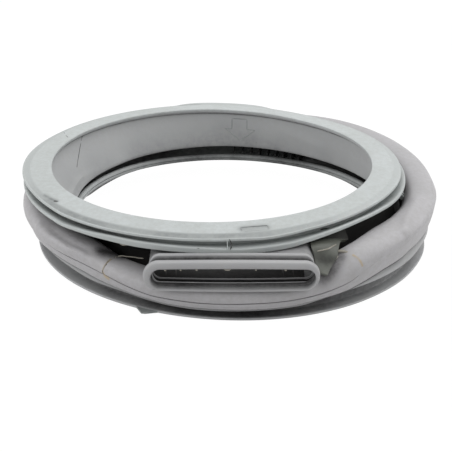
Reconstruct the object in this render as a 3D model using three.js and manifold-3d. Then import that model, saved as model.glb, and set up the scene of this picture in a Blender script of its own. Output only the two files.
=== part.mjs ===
// Door seal of a front loading washer dryer: one moulded rubber ring, lying with its tub side down.
// Millimetres, +Z up. An azimuth is in degrees round the tub ring: 0 is the right (+X), 90 the back,
// 180 the left and 270 the front, where the warm air inlet faces.
import * as THREE from 'three';
import { mergeVertices } from 'three/addons/utils/BufferGeometryUtils.js';
import Module from 'manifold-3d';

// Door ring, which clamps on the rim of the front panel
const doorRadius = 153.7;
const doorFaceWidth = 20.3;
const doorMarginWidth = 7.8;
const doorFaceHeight = 76.2;
const doorFaceDrop = 1.8;
const doorMarginDrop = 2.1;
const panelGrooveDepth = 8;
const panelGrooveMouth = 6.2;
const clampLipReach = 12.7;
const flangeEdge = 2;

// The relaxed door ring has slid to the left of the tub ring and leans a little
const doorShift = -21.5;
const doorTiltX = 0.02265;
const doorTiltY = 0.0052;

// Lug at the back of the door ring's rim
const rimLugReach = 7;
const rimLugAzimuth = 87;
const rimLugSpan = 34;

// Neck, the wall of the door opening
const neckWall = 5;
const beadOverhang = 5.3;
const beadHeight = 6.4;
const foldInset = 3;
const foldHeight = 35.7;
const foldFollow = 0.16;

// Tub ring, which clamps on the lip of the tub
const tubRadius = 190;
const tubGrooveDepth = 13;
const footDepth = 16;
const drumLipDepth = 38;
const drumLipHeight = 19.5;
const drumLipFace = 6;

// Bellows, a loose tube of thin rubber, open towards the drum
const wall = 3;
const recessWidth = 8.8;
const lipThickness = 2;
const slotSlope = 4;

// Heights and reaches of the sagging bellows at some azimuths, as [azimuth, size].
// Reaches are from the tub ring's rim.
const crestHeight = around([
  [0, 60], [18, 63], [35, 66], [52, 67], [78, 63], [105, 57], [140, 51], [180, 48.5], [215, 48], [228, 46],
  [238, 41], [248, 36.8], [262, 35.9], [280, 36.2], [290, 40], [298, 49], [305, 55], [314, 57], [330, 58],
  [345, 59.5],
]);
const crestReach = around([
  [0, -8], [25, -4], [50, 0], [140, -2], [225, -2], [245, -9], [270, -12], [292, -12], [304, -9], [318, -10],
  [340, -11],
]);
const bulgeHeight = around([
  [0, 53], [30, 52], [60, 48], [100, 40], [180, 38], [222, 37], [238, 31], [252, 25.5], [270, 24.5],
  [285, 26], [297, 33], [300, 36.5], [305, 43.5], [312, 49], [325, 54], [340, 55.5],
]);
const bulgeReach = around([
  [0, 5.5], [22, 10.5], [50, 14], [180, 13.5], [215, 13.5], [235, 11], [270, 10.5], [300, 11], [320, 9.5],
  [345, 5.5],
]);
const partingHeight = around([
  [0, 49], [30, 46], [60, 41], [90, 36], [120, 34], [150, 30], [205, 30], [217, 30.8], [228, 31.8],
  [236, 29.7], [241, 25.9], [247, 22.1], [251, 20.4], [257, 20], [262, 19.8], [275, 20.9], [282, 21.7],
  [290, 24], [296, 27.5], [300, 31], [304.5, 38.5], [309, 43], [314, 45.3], [318, 46.5], [325, 51],
  [335, 52.5], [350, 53],
]);
const partingReach = around([
  [0, 5], [30, 9.5], [60, 11], [90, 8.5], [210, 8.5], [240, 9.8], [270, 10], [300, 10.3], [320, 8.8],
  [345, 5],
]);
const bandHeight = around([
  [0, 29], [30, 25], [60, 27], [90, 27], [120, 27], [150, 19], [200, 20], [212, 22.3], [218, 22.9],
  [227, 22.5], [234.4, 20.4], [241, 18.6], [247, 16.5], [255, 14.4], [262, 14.1], [272, 14.3],
  [282, 15.3], [292, 18.9], [298, 20.9], [304.5, 23.6], [310, 26.3], [315, 28.6], [321, 29.9],
  [327, 32.2], [335, 32.5], [345, 32],
]);
const bandReach = around([
  [0, 1], [30, 5], [90, 6], [225, 6], [250, 8], [290, 8], [299, 7.5], [305, 5], [312, 3], [325, 2],
  [345, 1],
]);
const lipHeight = around([
  [0, 19], [30, 16], [60, 19.5], [90, 19.5], [120, 19.5], [150, 10], [175, 10], [205, 13.5],
  [212, 14.5], [220, 14.3], [229, 12.6], [240, 12.2], [248.4, 9.9], [254, 8.7], [262, 8.1], [277, 9.1],
  [288, 10.7], [293.4, 13.6], [302, 16.7], [315, 18.1], [328, 19.4], [338, 22], [345, 22],
]);
const slotHeight = around([
  [0, 1.2], [60, 0.6], [190, 0.6], [215, 1], [236, 0.6], [250, 0.4], [290, 0.4], [302, 1.2], [335, 1.4],
]);
const flangeLift = around([
  [0, 0], [28, 0], [37, 3.5], [48, 8], [65, 10.5], [90, 11], [115, 10.5], [132, 8], [143, 3.5],
  [152, 0], [345, 0],
]);
const gapReach = around([
  [0, 0], [205, 0], [222, 5], [232, 11], [240, 14], [252, 12], [262, 5], [285, 5], [295, 9], [302, 13],
  [310, 7], [318, 2], [340, 0],
]);
const gapDepth = around([
  [0, 3], [30, 0], [200, 0], [222, 6], [234, 13], [252, 13], [262, 3], [285, 3], [295, 12], [318, 12],
  [340, 7],
]);
const tubRimSlack = around([[0, -1], [40, 0], [270, 0], [300, -1.5], [318, -3], [335, -3], [350, -1.5]]);
const clampLipSlack = around([[0, 0], [110, -2], [150, -5], [190, -5.5], [212, -3], [232, 0]]);
const clampLipRise = around([
  [0, 0], [190, 0], [205, 1.7], [221, 1.7], [226, 1], [230, 1.5], [237, 2.2], [243.6, 3], [252, 3.9],
  [258.5, 3.6], [267, 2.8], [275, 1.3], [280, 0.3], [291, 0.4], [298, 1.8], [304, 3], [311, 3.8],
  [315, 4], [324.5, 2.3], [331, 1], [345, 0],
]);

// Warm air inlet at the front, a flat duct through the neck
const inletReach = 14;
const inletCentre = 11.8;
const inletMiddle = -1.1;
const inletTilt = 0.026;
const inletHalfWidth = 73.2;
const inletHalfHeight = 12.5;
const inletArch = 0.7;
const inletSag = 1.5;
const inletRim = 5.6;
const inletEndRim = 4.9;
const openingDrop = 1.6;
const openingAside = 1.4;
const inletRimDepth = 7;
const inletGrooveDepth = 3;
const inletGrooveWidth = 6;
const inletRidgeWidth = 5;
const inletRidgeRise = 1.2;
const inletRidgeInset = 3.5;
const inletWall = 2.4;
const inletRibRise = 1.4;
const inletRibWidth = 2;
const inletRibPlaces = [12, 20];
const inletBackMargin = 4;
const inletTrim = 0.4;
const inletEndSteps = 8;
const inletSideSteps = 4;

// Shoulder between the inlet's right side and the neck
const shoulderReach = 12;
const shoulderHeight = 7.5;
const shoulderLength = 58;
const shoulderOverlap = 8;

// Web across the gap between neck and bellows on the right
const webAzimuth = 352;
const webWidth = 9;
const webThickness = 3;
const webDrop = 8;

// Stiffening ribs inside the tub ring at the back
const ribCount = 9;
const ribStart = 64;
const ribPitch = 3.2;
const ribThickness = 1.4;
const ribHeight = 10;
const ribFootDepth = 6;
const ribTopDepth = 13;

// Locating tab on the tub ring's rim
const tabAzimuth = 247.5;
const tabWidth = 24;
const tabReach = 7;

// Shallow rectangle pressed in the door face at the front
const flatAzimuth = 283.5;
const flatLength = 23;
const flatWidth = 7;
const flatDepth = 0.6;
const flatSetback = 10.5;

const ringSteps = 60;
const rubberColour = 0xb4b7b6;

// Radii and heights that follow from the sizes above
const marginRadius = doorRadius + doorFaceWidth;
const rimRadius = marginRadius + doorMarginWidth;
const marginHeight = doorFaceHeight - doorFaceDrop;
const rimHeight = marginHeight - doorMarginDrop;
const panelGrooveRadius = rimRadius - panelGrooveDepth;
const clampLipTop = rimHeight - flangeEdge - panelGrooveMouth;
const clampLipRadius = panelGrooveRadius + clampLipReach;
const beadRadius = doorRadius + beadOverhang;
const foldRadius = doorRadius - foldInset;
const recessFloor = foldHeight + wall;
const tubGrooveRadius = tubRadius - tubGrooveDepth;
const drumLipRadius = tubRadius - drumLipDepth;
const tubeRadius = foldRadius + neckWall + recessWidth;
const inletHeight = foldHeight + inletCentre;
const inletFace = tubRadius + inletReach;
const inletBack = Math.sqrt(foldRadius ** 2 - (inletHalfWidth - doorShift) ** 2) - inletBackMargin;
const inletLength = inletFace - inletBack;
const inletRidgeStart = inletRimDepth + inletGrooveWidth;
const inletRidgeEnd = inletRidgeStart + inletRidgeWidth;

// A smooth closed course of one size round the ring, through stations that start at azimuth 0
function around(stations) {
  const count = stations.length;
  const at = (i) => stations[(i + count) % count];
  const span = (i) => (at(i + 1)[0] - at(i)[0] + 360) % 360;
  const slope = (i) => (at(i + 1)[1] - at(i)[1]) / span(i);
  const tangent = (i) => {
    const before = slope(i - 1);
    const after = slope(i);
    return before * after > 0 ? 2 * before * after / (before + after) : 0;
  };
  return (azimuth) => {
    const later = stations.findIndex((station) => station[0] > azimuth);
    const i = (later < 0 ? count : later) - 1;
    const length = span(i);
    const t = (azimuth - at(i)[0]) / length;
    const ease = t * t * (3 - 2 * t);
    const lead = t * (1 - t) * (1 - t) * tangent(i) * length;
    const trail = t * t * (1 - t) * tangent(i + 1) * length;
    return at(i)[1] * (1 - ease) + at(i + 1)[1] * ease + lead - trail;
  };
}

function mix(a, b, share) {
  return a + (b - a) * share;
}

// How far the rim's lug stands out at an azimuth
function rimLug(azimuth) {
  const away = Math.abs(azimuth - rimLugAzimuth) / (rimLugSpan / 2);
  return away < 1 ? rimLugReach * (1 - away ** 4) : 0;
}

// A section point is [radius, height, follow]: follow 0 keeps to the tub ring, 1 to the door ring.

// Door face, groove for the front panel's rim, and the clamp lip under it
function doorRing(azimuth) {
  const rim = rimRadius + rimLug(azimuth);
  const clampLip = clampLipRadius + clampLipSlack(azimuth);
  const rise = clampLipRise(azimuth);
  return [
    [doorRadius + 1.2, doorFaceHeight],
    [marginRadius, marginHeight],
    [rim - 0.6, rimHeight],
    [rim, rimHeight - flangeEdge],
    [panelGrooveRadius + 1, rimHeight - flangeEdge - 0.3],
    [panelGrooveRadius, rimHeight - flangeEdge - 1.5],
    [panelGrooveRadius, clampLipTop + 1.4],
    [panelGrooveRadius + 1.4, clampLipTop + 0.3],
    [clampLip - 6.5, clampLipTop + rise / 2],
    [clampLip - 0.2, clampLipTop + rise - 0.4],
    [clampLip, clampLipTop + rise - 0.6 - lipThickness],
    [panelGrooveRadius, clampLipTop - 1 - lipThickness],
    [panelGrooveRadius - 6, clampLipTop - 1.6 - lipThickness],
  ].map((point) => [...point, 1]);
}

// A point on the neck: share 0 is its fold, 1 the line under the bead
function neckPoint(share, outwards) {
  const radius = mix(foldRadius, beadRadius, share) + outwards;
  const height = mix(foldHeight, doorFaceHeight - beadHeight, share);
  return [radius, height, mix(foldFollow, 1, share)];
}

// Outer end of the floor of the gap between neck and bellows
function gapFloor(azimuth) {
  return [tubeRadius + gapReach(azimuth), recessFloor - gapDepth(azimuth)];
}

// Outside of the neck, down to the floor of the gap behind it
function neckOutside(azimuth) {
  const [tubeInner, floor] = gapFloor(azimuth);
  return [
    neckPoint(0.62, neckWall),
    neckPoint(0.42, neckWall),
    neckPoint(0.24, neckWall),
    [foldRadius + neckWall + 1.5, recessFloor + 1.4, foldFollow],
    [tubeInner - 3.5, floor, foldFollow],
  ];
}

// The same corner on the underside
function gapUnderside(azimuth) {
  const [tubeInner, floor] = gapFloor(azimuth);
  return [tubeInner - 1.5, floor - wall, foldFollow];
}

// Outside of the bellows: up its inner side, over the crest and down to the parting line and the band
function bellows(azimuth) {
  const crest = [tubRadius + crestReach(azimuth), crestHeight(azimuth)];
  const bulge = [tubRadius + bulgeReach(azimuth), bulgeHeight(azimuth)];
  const parting = [tubRadius + partingReach(azimuth), partingHeight(azimuth)];
  const [tubeInner, floor] = gapFloor(azimuth);
  const inner = [tubeInner, mix(floor, crest[1], 0.12)];
  const band = [tubRadius + bandReach(azimuth), bandHeight(azimuth)];
  const points = [];
  for (const degrees of [180, 152, 120]) {
    const turn = THREE.MathUtils.degToRad(degrees);
    const out = Math.abs(Math.cos(turn)) ** 0.75;
    const up = Math.sin(turn) ** 0.75;
    points.push([mix(crest[0], inner[0], out), mix(inner[1], crest[1], up), foldFollow * out / 2]);
  }
  for (const degrees of [90, 60, 30, 0]) {
    const turn = THREE.MathUtils.degToRad(degrees);
    const out = Math.cos(turn) ** 0.85;
    const up = Math.sin(turn) ** 0.85;
    points.push([mix(crest[0], bulge[0], out), mix(bulge[1], crest[1], up), 0]);
  }
  points.push([mix(bulge[0], parting[0], 0.4), mix(bulge[1], parting[1], 0.5), 0]);
  points.push([...parting, 0]);
  points.push([mix(parting[0], band[0], 0.5) + 0.8, mix(parting[1], band[1], 0.5), 0]);
  points.push([...band, 0]);
  return points;
}

// Slot under the band, lip below it, groove for the tub's lip, and the flange that the seal stands on
function tubRing(azimuth) {
  const lip = lipHeight(azimuth);
  const slot = slotHeight(azimuth);
  const band = tubRadius + bandReach(azimuth);
  const slotTop = bandHeight(azimuth);
  const rim = tubRadius + tubRimSlack(azimuth);
  const lift = flangeLift(azimuth);
  return [
    [band - slot * slotSlope, slotTop - 0.2],
    [band - slot * slotSlope, slotTop - slot],
    [band - 1, slotTop - slot - 0.3],
    [tubRadius + 0.2, lip],
    [tubGrooveRadius + 2.5, lip - 0.4],
    [tubGrooveRadius, lip - 2],
    [tubGrooveRadius, lift + flangeEdge + 1.8],
    [tubGrooveRadius + 1.6, lift + flangeEdge + 0.4],
    [rim - 1.4, lift + flangeEdge],
    [rim, lift],
    [tubRadius - footDepth, lift],
    [tubRadius - footDepth - 1.5, lift + 2.5],
  ].map((point) => [...point, 0]);
}

// Lip at the drum and the floor of the hollow behind it
function drumLip(azimuth) {
  const lip = lipHeight(azimuth);
  return [
    [drumLipRadius + 6, drumLipHeight - 2.8],
    [drumLipRadius, drumLipHeight],
    [drumLipRadius - 0.3, drumLipHeight + drumLipFace / 2],
    [drumLipRadius + 0.6, drumLipHeight + drumLipFace],
    [drumLipRadius + 3.5, drumLipHeight + drumLipFace + 0.7],
    [drumLipRadius + 16, mix(lip, drumLipHeight, 0.5) + 1.5],
    [tubGrooveRadius - 0.5, lip + 3.4],
    [tubGrooveRadius + 3, lip + 6],
  ].map((point) => [...point, 0]);
}

// Inside of the bellows: its outside moved in by the wall, from the band back to the recess
function bellowsInside(outside) {
  const inside = [];
  for (let i = outside.length - 2; i > 0; i -= 1) {
    const [before, here, after] = [outside[i - 1], outside[i], outside[i + 1]];
    const along = new THREE.Vector2(after[0] - before[0], after[1] - before[1]).normalize();
    inside.push([here[0] + along.y * wall, here[1] - along.x * wall, here[2]]);
  }
  return inside;
}

// Fold under the neck, the inside of the neck and the bead round the door opening
function openingWall() {
  return [
    [foldRadius + 8, foldHeight - 0.6, foldFollow],
    [foldRadius + 1.6, foldHeight - 1, foldFollow],
    neckPoint(0.02, 0),
    neckPoint(0.35, 0),
    neckPoint(0.68, 0),
    neckPoint(0.99, 0),
    [beadRadius - 1.1, doorFaceHeight - beadHeight + 0.6, 1],
    [doorRadius + 0.8, doorFaceHeight - 3, 1],
    [doorRadius, doorFaceHeight - 1, 1],
  ];
}

function section(azimuth) {
  const tube = bellows(azimuth);
  const recess = neckOutside(azimuth);
  return [
    ...doorRing(azimuth),
    ...recess,
    ...tube,
    ...tubRing(azimuth),
    ...drumLip(azimuth),
    ...bellowsInside([recess[recess.length - 1], ...tube]),
    gapUnderside(azimuth),
    ...openingWall(),
  ];
}

// Where a section point lies at an azimuth
function place([radius, height, follow], azimuth) {
  const turn = THREE.MathUtils.degToRad(azimuth);
  const x = radius * Math.cos(turn);
  const y = radius * Math.sin(turn);
  return new THREE.Vector3(x + doorShift * follow, y, height + follow * (doorTiltX * x + doorTiltY * y));
}

// Closed mesh through rings of points; the points of each ring run the same way round
function skin(rings) {
  const count = rings[0].length;
  const index = [];
  rings.forEach((ring, r) => {
    const here = r * count;
    const next = ((r + 1) % rings.length) * count;
    for (let i = 0; i < count; i += 1) {
      const j = (i + 1) % count;
      index.push(here + i, here + j, next + j, here + i, next + j, next + i);
    }
  });
  const geometry = new THREE.BufferGeometry().setFromPoints(rings.flat());
  geometry.setIndex(index);
  return geometry;
}

function ringBody() {
  const rings = [];
  for (let k = 0; k < ringSteps; k += 1) {
    const azimuth = 360 * k / ringSteps;
    rings.push(section(azimuth).map((point) => place(point, azimuth)));
  }
  return skin(rings);
}

// The inlet's outline lies in a plane across its length; its ends are half ellipses.
// Inner outlines lie a little to the right and below the middle.
function inletOutline(endInset, sideInset, back, inner = 0) {
  const endCentre = inletHalfWidth - inletHalfHeight;
  const endReach = inletHalfWidth - endInset - endCentre;
  const half = inletHalfHeight - sideInset;
  const outline = [];
  for (const side of [1, -1]) {
    for (let k = 0; k <= inletEndSteps; k += 1) {
      const turn = Math.PI * (k / inletEndSteps - 0.5);
      outline.push([side * (endCentre + endReach * Math.cos(turn)), side * half * Math.sin(turn)]);
    }
    for (let k = 1; k < inletSideSteps; k += 1) {
      outline.push([side * endCentre * (1 - 2 * k / inletSideSteps), side * half]);
    }
  }
  return outline.map(([x, up]) => {
    const bow = 1 - (x / inletHalfWidth) ** 2;
    const lift = (up > 0 ? inletArch : -inletSag) * bow * Math.abs(up) / half + inletTilt * x;
    const right = inletMiddle + inner * openingAside;
    return new THREE.Vector3(x + right, back - inletFace, inletHeight + up + lift - inner * openingDrop);
  });
}

// Duct wall: rim, groove and ridge outside, two sealing ribs inside
function inletWallBody() {
  const bodyInset = inletRim - inletWall;
  const outside = [
    [1, 1, 0],
    [0, 0, 1.2],
    [0, 0, inletRimDepth],
    [inletGrooveDepth + 1.5, inletGrooveDepth, inletRimDepth + 0.8],
    [inletGrooveDepth + 1.5, inletGrooveDepth, inletRidgeStart],
    [inletRidgeInset, -inletRidgeRise, inletRidgeStart + 1],
    [inletRidgeInset, -inletRidgeRise, inletRidgeEnd - 1],
    [inletRidgeInset, bodyInset, inletRidgeEnd],
    [inletRidgeInset, bodyInset, inletLength],
  ];
  const inside = [[inletEndRim, inletRim, inletLength, 1]];
  for (const rib of [...inletRibPlaces].reverse()) {
    inside.push([inletEndRim, inletRim, rib + inletRibWidth / 2, 1]);
    inside.push([inletEndRim + inletRibRise, inletRim + inletRibRise, rib, 1]);
    inside.push([inletEndRim, inletRim, rib - inletRibWidth / 2, 1]);
  }
  inside.push([inletEndRim, inletRim, 0, 1]);
  const courses = [...outside, ...inside].map((point) => inletOutline(...point));
  return skin(courses[0].map((unused, i) => courses.map((course) => course[i])));
}

// Space that the duct takes out of the neck and the bellows; it ends inside the duct's wall
function inletPassage() {
  const outset = inletWall / 2;
  const front = inletOutline(inletEndRim - outset, inletRim - outset, inletRimDepth, 1);
  const back = inletOutline(inletEndRim - outset, inletRim - outset, inletLength, 1);
  return capped([front, back]);
}

// Closed mesh through outlines in a row, with a flat cap on each end
function capped(outlines) {
  const count = outlines[0].length;
  const points = outlines.flat();
  const index = [];
  for (let r = 0; r + 1 < outlines.length; r += 1) {
    for (let i = 0; i < count; i += 1) {
      const j = (i + 1) % count;
      const here = r * count;
      const next = here + count;
      index.push(here + i, next + j, here + j, here + i, next + i, next + j);
    }
  }
  const last = points.length - count;
  for (let i = 1; i + 1 < count; i += 1) {
    index.push(0, i, i + 1, last, last + i + 1, last + i);
  }
  const geometry = new THREE.BufferGeometry().setFromPoints(points);
  geometry.setIndex(index);
  return geometry;
}

// Room inside the neck, as a ring wide enough to trim the duct's back end flush
function openingRoom() {
  const shares = [-0.1, 0.3, 0.65, 1];
  const inner = inletBack / 2;
  const rings = [];
  for (let k = 0; k < ringSteps; k += 1) {
    const azimuth = 360 * k / ringSteps;
    const outer = shares.map((share) => neckPoint(share, inletTrim)).reverse();
    const course = [[inner, outer[0][1], outer[0][2]], ...outer, [inner, outer[3][1], outer[3][2]]];
    rings.push(course.map((point) => place(point, azimuth)));
  }
  return skin(rings);
}

// Shoulder that joins the inlet's right side to the neck
function shoulder() {
  const right = inletHalfWidth - inletRidgeInset;
  const front = inletRidgeEnd - inletFace;
  const plan = new THREE.Shape([
    new THREE.Vector2(right - shoulderOverlap, front),
    new THREE.Vector2(right, front),
    new THREE.Vector2(right + shoulderReach, front + shoulderReach + 1),
    new THREE.Vector2(right + shoulderReach + 4, front + shoulderLength / 2),
    new THREE.Vector2(right + shoulderReach + 6, front + shoulderLength),
    new THREE.Vector2(right - shoulderOverlap, front + shoulderLength),
  ]);
  const depth = shoulderHeight + inletHeight - foldHeight;
  return new THREE.ExtrudeGeometry(plan, { depth, bevelEnabled: false })
    .translate(0, 0, foldHeight + wall / 2);
}

// Flat piece cut from an outline of [radius, height] and stood on edge at an azimuth
function fin(outline, thickness, azimuth) {
  const shape = new THREE.Shape(outline.map(([radius, height]) => new THREE.Vector2(radius, height)));
  return new THREE.ExtrudeGeometry(shape, { depth: thickness, bevelEnabled: false })
    .rotateX(Math.PI / 2)
    .translate(0, thickness / 2, 0)
    .rotateZ(THREE.MathUtils.degToRad(azimuth));
}

// Web from under the clamp lip to the bellows' inner side
function web() {
  const neck = foldRadius + neckWall;
  const low = recessFloor + webDrop;
  return fin([
    [neck - 6, clampLipTop - 5],
    [neck + 2, clampLipTop - 5.5],
    [mix(neck, tubeRadius, 0.7), low + 8],
    [tubeRadius + 6, low + 1],
    [tubeRadius + 6, low - webThickness],
    [mix(neck, tubeRadius, 0.6), low + 8 - webThickness * 1.6],
    [neck - 6, clampLipTop - 5 - webThickness * 2],
  ], webWidth, webAzimuth);
}

function rib(azimuth) {
  const floor = lipHeight(azimuth) + 2;
  return fin([
    [tubGrooveRadius - 1, floor],
    [tubGrooveRadius, floor + ribHeight],
    [tubGrooveRadius + ribTopDepth, floor + ribHeight],
    [tubGrooveRadius + ribFootDepth, floor],
  ], ribThickness, azimuth);
}

// Pointed locating tab on the rim of the tub ring
function locatingTab() {
  const along = tabWidth / 2;
  const root = tubRadius - 5;
  const plan = new THREE.Shape([
    new THREE.Vector2(root, -along),
    new THREE.Vector2(root + 3, -along),
    new THREE.Vector2(tubRadius + tabReach, -2),
    new THREE.Vector2(tubRadius + tabReach - 1, 1.5),
    new THREE.Vector2(root + 3, along),
    new THREE.Vector2(root, along),
  ]);
  return new THREE.ExtrudeGeometry(plan, { depth: flangeEdge - 0.2, bevelEnabled: false })
    .rotateZ(THREE.MathUtils.degToRad(tabAzimuth));
}

// Shallow rectangle pressed in the door face
function pressedFlat() {
  const radius = marginRadius - flatSetback / 2;
  const slope = Math.atan2(doorFaceDrop, doorFaceWidth);
  const height = marginHeight + (marginRadius - radius) * doorFaceDrop / doorFaceWidth;
  const centre = place([radius, height, 1], flatAzimuth);
  return new THREE.BoxGeometry(flatWidth, flatLength, 2 * flatDepth)
    .rotateY(slope)
    .rotateZ(THREE.MathUtils.degToRad(flatAzimuth))
    .translate(centre.x, centre.y, centre.z);
}

const manifold = await Module();
manifold.setup();

function toSolid(source) {
  const bare = source.clone();
  bare.deleteAttribute('normal');
  bare.deleteAttribute('uv');
  const merged = mergeVertices(bare, 1e-4);
  return new manifold.Manifold(new manifold.Mesh({
    numProp: 3,
    vertProperties: Float32Array.from(merged.attributes.position.array),
    triVerts: Uint32Array.from(merged.index.array),
  }));
}

function toGeometry(solid) {
  const mesh = solid.getMesh();
  const geometry = new THREE.BufferGeometry();
  const positions = Float32Array.from(mesh.vertProperties);
  geometry.setAttribute('position', new THREE.BufferAttribute(positions, 3));
  geometry.setIndex(new THREE.BufferAttribute(Uint32Array.from(mesh.triVerts), 1));
  geometry.computeVertexNormals();
  return geometry;
}

function sealBody() {
  const room = toSolid(openingRoom());
  let body = toSolid(ringBody())
    .add(toSolid(shoulder()).subtract(room))
    .subtract(toSolid(inletPassage()))
    .add(toSolid(inletWallBody()).subtract(room))
    .add(toSolid(web()))
    .add(toSolid(locatingTab()))
    .subtract(toSolid(pressedFlat()));
  for (let k = 0; k < ribCount; k += 1) {
    body = body.add(toSolid(rib(ribStart + k * ribPitch)));
  }
  return toGeometry(body);
}

// The part's origin is under the middle of its box
function centred(geometry) {
  geometry.computeBoundingBox();
  const { min, max } = geometry.boundingBox;
  return geometry.translate(-(min.x + max.x) / 2, -(min.y + max.y) / 2, -min.z);
}

const rubber = new THREE.MeshStandardMaterial({ color: rubberColour, roughness: 0.55, metalness: 0 });
const seal = new THREE.Mesh(centred(sealBody()), rubber);
seal.name = 'door_seal';

const part = new THREE.Group();
part.add(seal);

export default part;
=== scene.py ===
import math

import bmesh
import bpy
import numpy as np
from mathutils import Matrix, Vector
from mathutils.kdtree import KDTree


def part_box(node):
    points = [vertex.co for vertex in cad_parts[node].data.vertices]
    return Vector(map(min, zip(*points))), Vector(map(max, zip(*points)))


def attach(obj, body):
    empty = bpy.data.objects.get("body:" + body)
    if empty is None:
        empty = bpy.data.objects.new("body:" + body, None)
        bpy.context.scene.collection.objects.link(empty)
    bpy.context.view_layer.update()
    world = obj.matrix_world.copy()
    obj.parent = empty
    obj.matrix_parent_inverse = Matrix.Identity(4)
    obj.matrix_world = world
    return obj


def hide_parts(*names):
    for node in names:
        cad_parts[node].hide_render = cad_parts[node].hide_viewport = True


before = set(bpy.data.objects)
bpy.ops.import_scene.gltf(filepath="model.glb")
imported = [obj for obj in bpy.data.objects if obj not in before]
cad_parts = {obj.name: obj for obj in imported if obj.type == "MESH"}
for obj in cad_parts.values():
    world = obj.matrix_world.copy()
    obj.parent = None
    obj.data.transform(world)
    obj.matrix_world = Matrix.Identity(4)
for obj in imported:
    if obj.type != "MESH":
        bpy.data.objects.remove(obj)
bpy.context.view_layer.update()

# All shapes are worked out in millimetres in the moulding's own frame: the origin is the middle
# of the tub ring, and an azimuth runs from +X (right) over the back (90) to the front (270).
MM = 0.001

# Degrees: an edge that bends by more stays sharp; the ring's sections stand closer in front
SHARP_EDGE = 40
FINE_EDGE = 80
FRONT = (195, 345)
FRONT_STEP = 0.75
BACK_STEP = 1.5

# Door ring, which clamps on the front panel
DOOR_RADIUS = 153.7
FACE_WIDTH = 20.3
MARGIN_WIDTH = 7.8
FACE_HEIGHT = 76.2
FACE_DROP = 1.8
MARGIN_DROP = 2.1
PANEL_GROOVE_DEPTH = 8
PANEL_GROOVE_MOUTH = 6.2
CLAMP_LIP_REACH = 12.7
RIM_THICKNESS = 2.2
DOOR_SHIFT = -21.5
DOOR_TILT_X = 0.02265
DOOR_TILT_Y = 0.0052

# Lug at the back of the rim
LUG_REACH = 7
LUG_AZIMUTH = 87
LUG_SPAN = 34

# Neck, the wall of the door opening
NECK_WALL = 5
BEAD_OVERHANG = 5.3
BEAD_HEIGHT = 6.4
FOLD_INSET = 3
FOLD_HEIGHT = 35.7
FOLD_FOLLOW = 0.16

# Tub ring and bellows
TUB_RADIUS = 190
TUB_GROOVE_DEPTH = 13
FOOT_DEPTH = 16
FLANGE_THICKNESS = 2
DRUM_LIP_DEPTH = 38
DRUM_LIP_HEIGHT = 19.5
WALL = 3
RECESS_WIDTH = 8.8
SLOT_SLOPE = 4

# Warm air inlet
INLET_REACH = 14
INLET_CENTRE = 11.8
INLET_MIDDLE = -1.1
INLET_TILT = 0.026
INLET_HALF_WIDTH = 73.2
INLET_HALF_HEIGHT = 12.5
INLET_ARCH = 0.7
INLET_SAG = 1.5
INLET_RIM = 4.3
INLET_END_RIM = 4.9
OPENING_DROP = 2.2
OPENING_ASIDE = 1.4
INLET_WALL = 2.4
INLET_RIM_DEPTH = 7
INLET_GROOVE_DEPTH = 3
INLET_GROOVE_WIDTH = 6
INLET_RIDGE_WIDTH = 5
INLET_RIDGE_RISE = 1.2
INLET_RIDGE_INSET = 3.5
INLET_RIB_RISE = 1.4
INLET_RIB_WIDTH = 2
INLET_RIB_PLACES = (12, 20)
INLET_LENGTH = 91.8
INLET_STEPS = (20, 28)

# Shallow rectangle pressed in the door face at the front
FLAT_AZIMUTH = 283.5
FLAT_LENGTH = 23
FLAT_WIDTH = 7
FLAT_DEPTH = 0.6
FLAT_SETBACK = 10.5

# Web across the gap on the right, stiffening ribs at the back, locating tab on the tub ring
WEB_AZIMUTH = 352
WEB_WIDTH = 9
WEB_THICKNESS = 3
WEB_DROP = 8
RIB_COUNT = 9
RIB_START = 64
RIB_PITCH = 3.2
RIB_THICKNESS = 1.4
RIB_HEIGHT = 10
RIB_FOOT_DEPTH = 6
RIB_TOP_DEPTH = 13
RIB_INNER = 9
TAB_AZIMUTH = 247.5
TAB_WIDTH = 24
TAB_REACH = 7

# Lengths that follow from the sizes above
MARGIN_RADIUS = DOOR_RADIUS + FACE_WIDTH
RIM_RADIUS = MARGIN_RADIUS + MARGIN_WIDTH
MARGIN_HEIGHT = FACE_HEIGHT - FACE_DROP
RIM_HEIGHT = MARGIN_HEIGHT - MARGIN_DROP
PANEL_GROOVE_RADIUS = RIM_RADIUS - PANEL_GROOVE_DEPTH
CLAMP_LIP_TOP = RIM_HEIGHT - 2 - PANEL_GROOVE_MOUTH
CLAMP_LIP_RADIUS = PANEL_GROOVE_RADIUS + CLAMP_LIP_REACH
BEAD_RADIUS = DOOR_RADIUS + BEAD_OVERHANG
FOLD_RADIUS = DOOR_RADIUS - FOLD_INSET
RECESS_FLOOR = FOLD_HEIGHT + WALL
TUBE_RADIUS = FOLD_RADIUS + NECK_WALL + RECESS_WIDTH
TUB_GROOVE_RADIUS = TUB_RADIUS - TUB_GROOVE_DEPTH
DRUM_LIP_RADIUS = TUB_RADIUS - DRUM_LIP_DEPTH
INLET_HEIGHT = FOLD_HEIGHT + INLET_CENTRE
INLET_FACE = TUB_RADIUS + INLET_REACH


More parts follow.
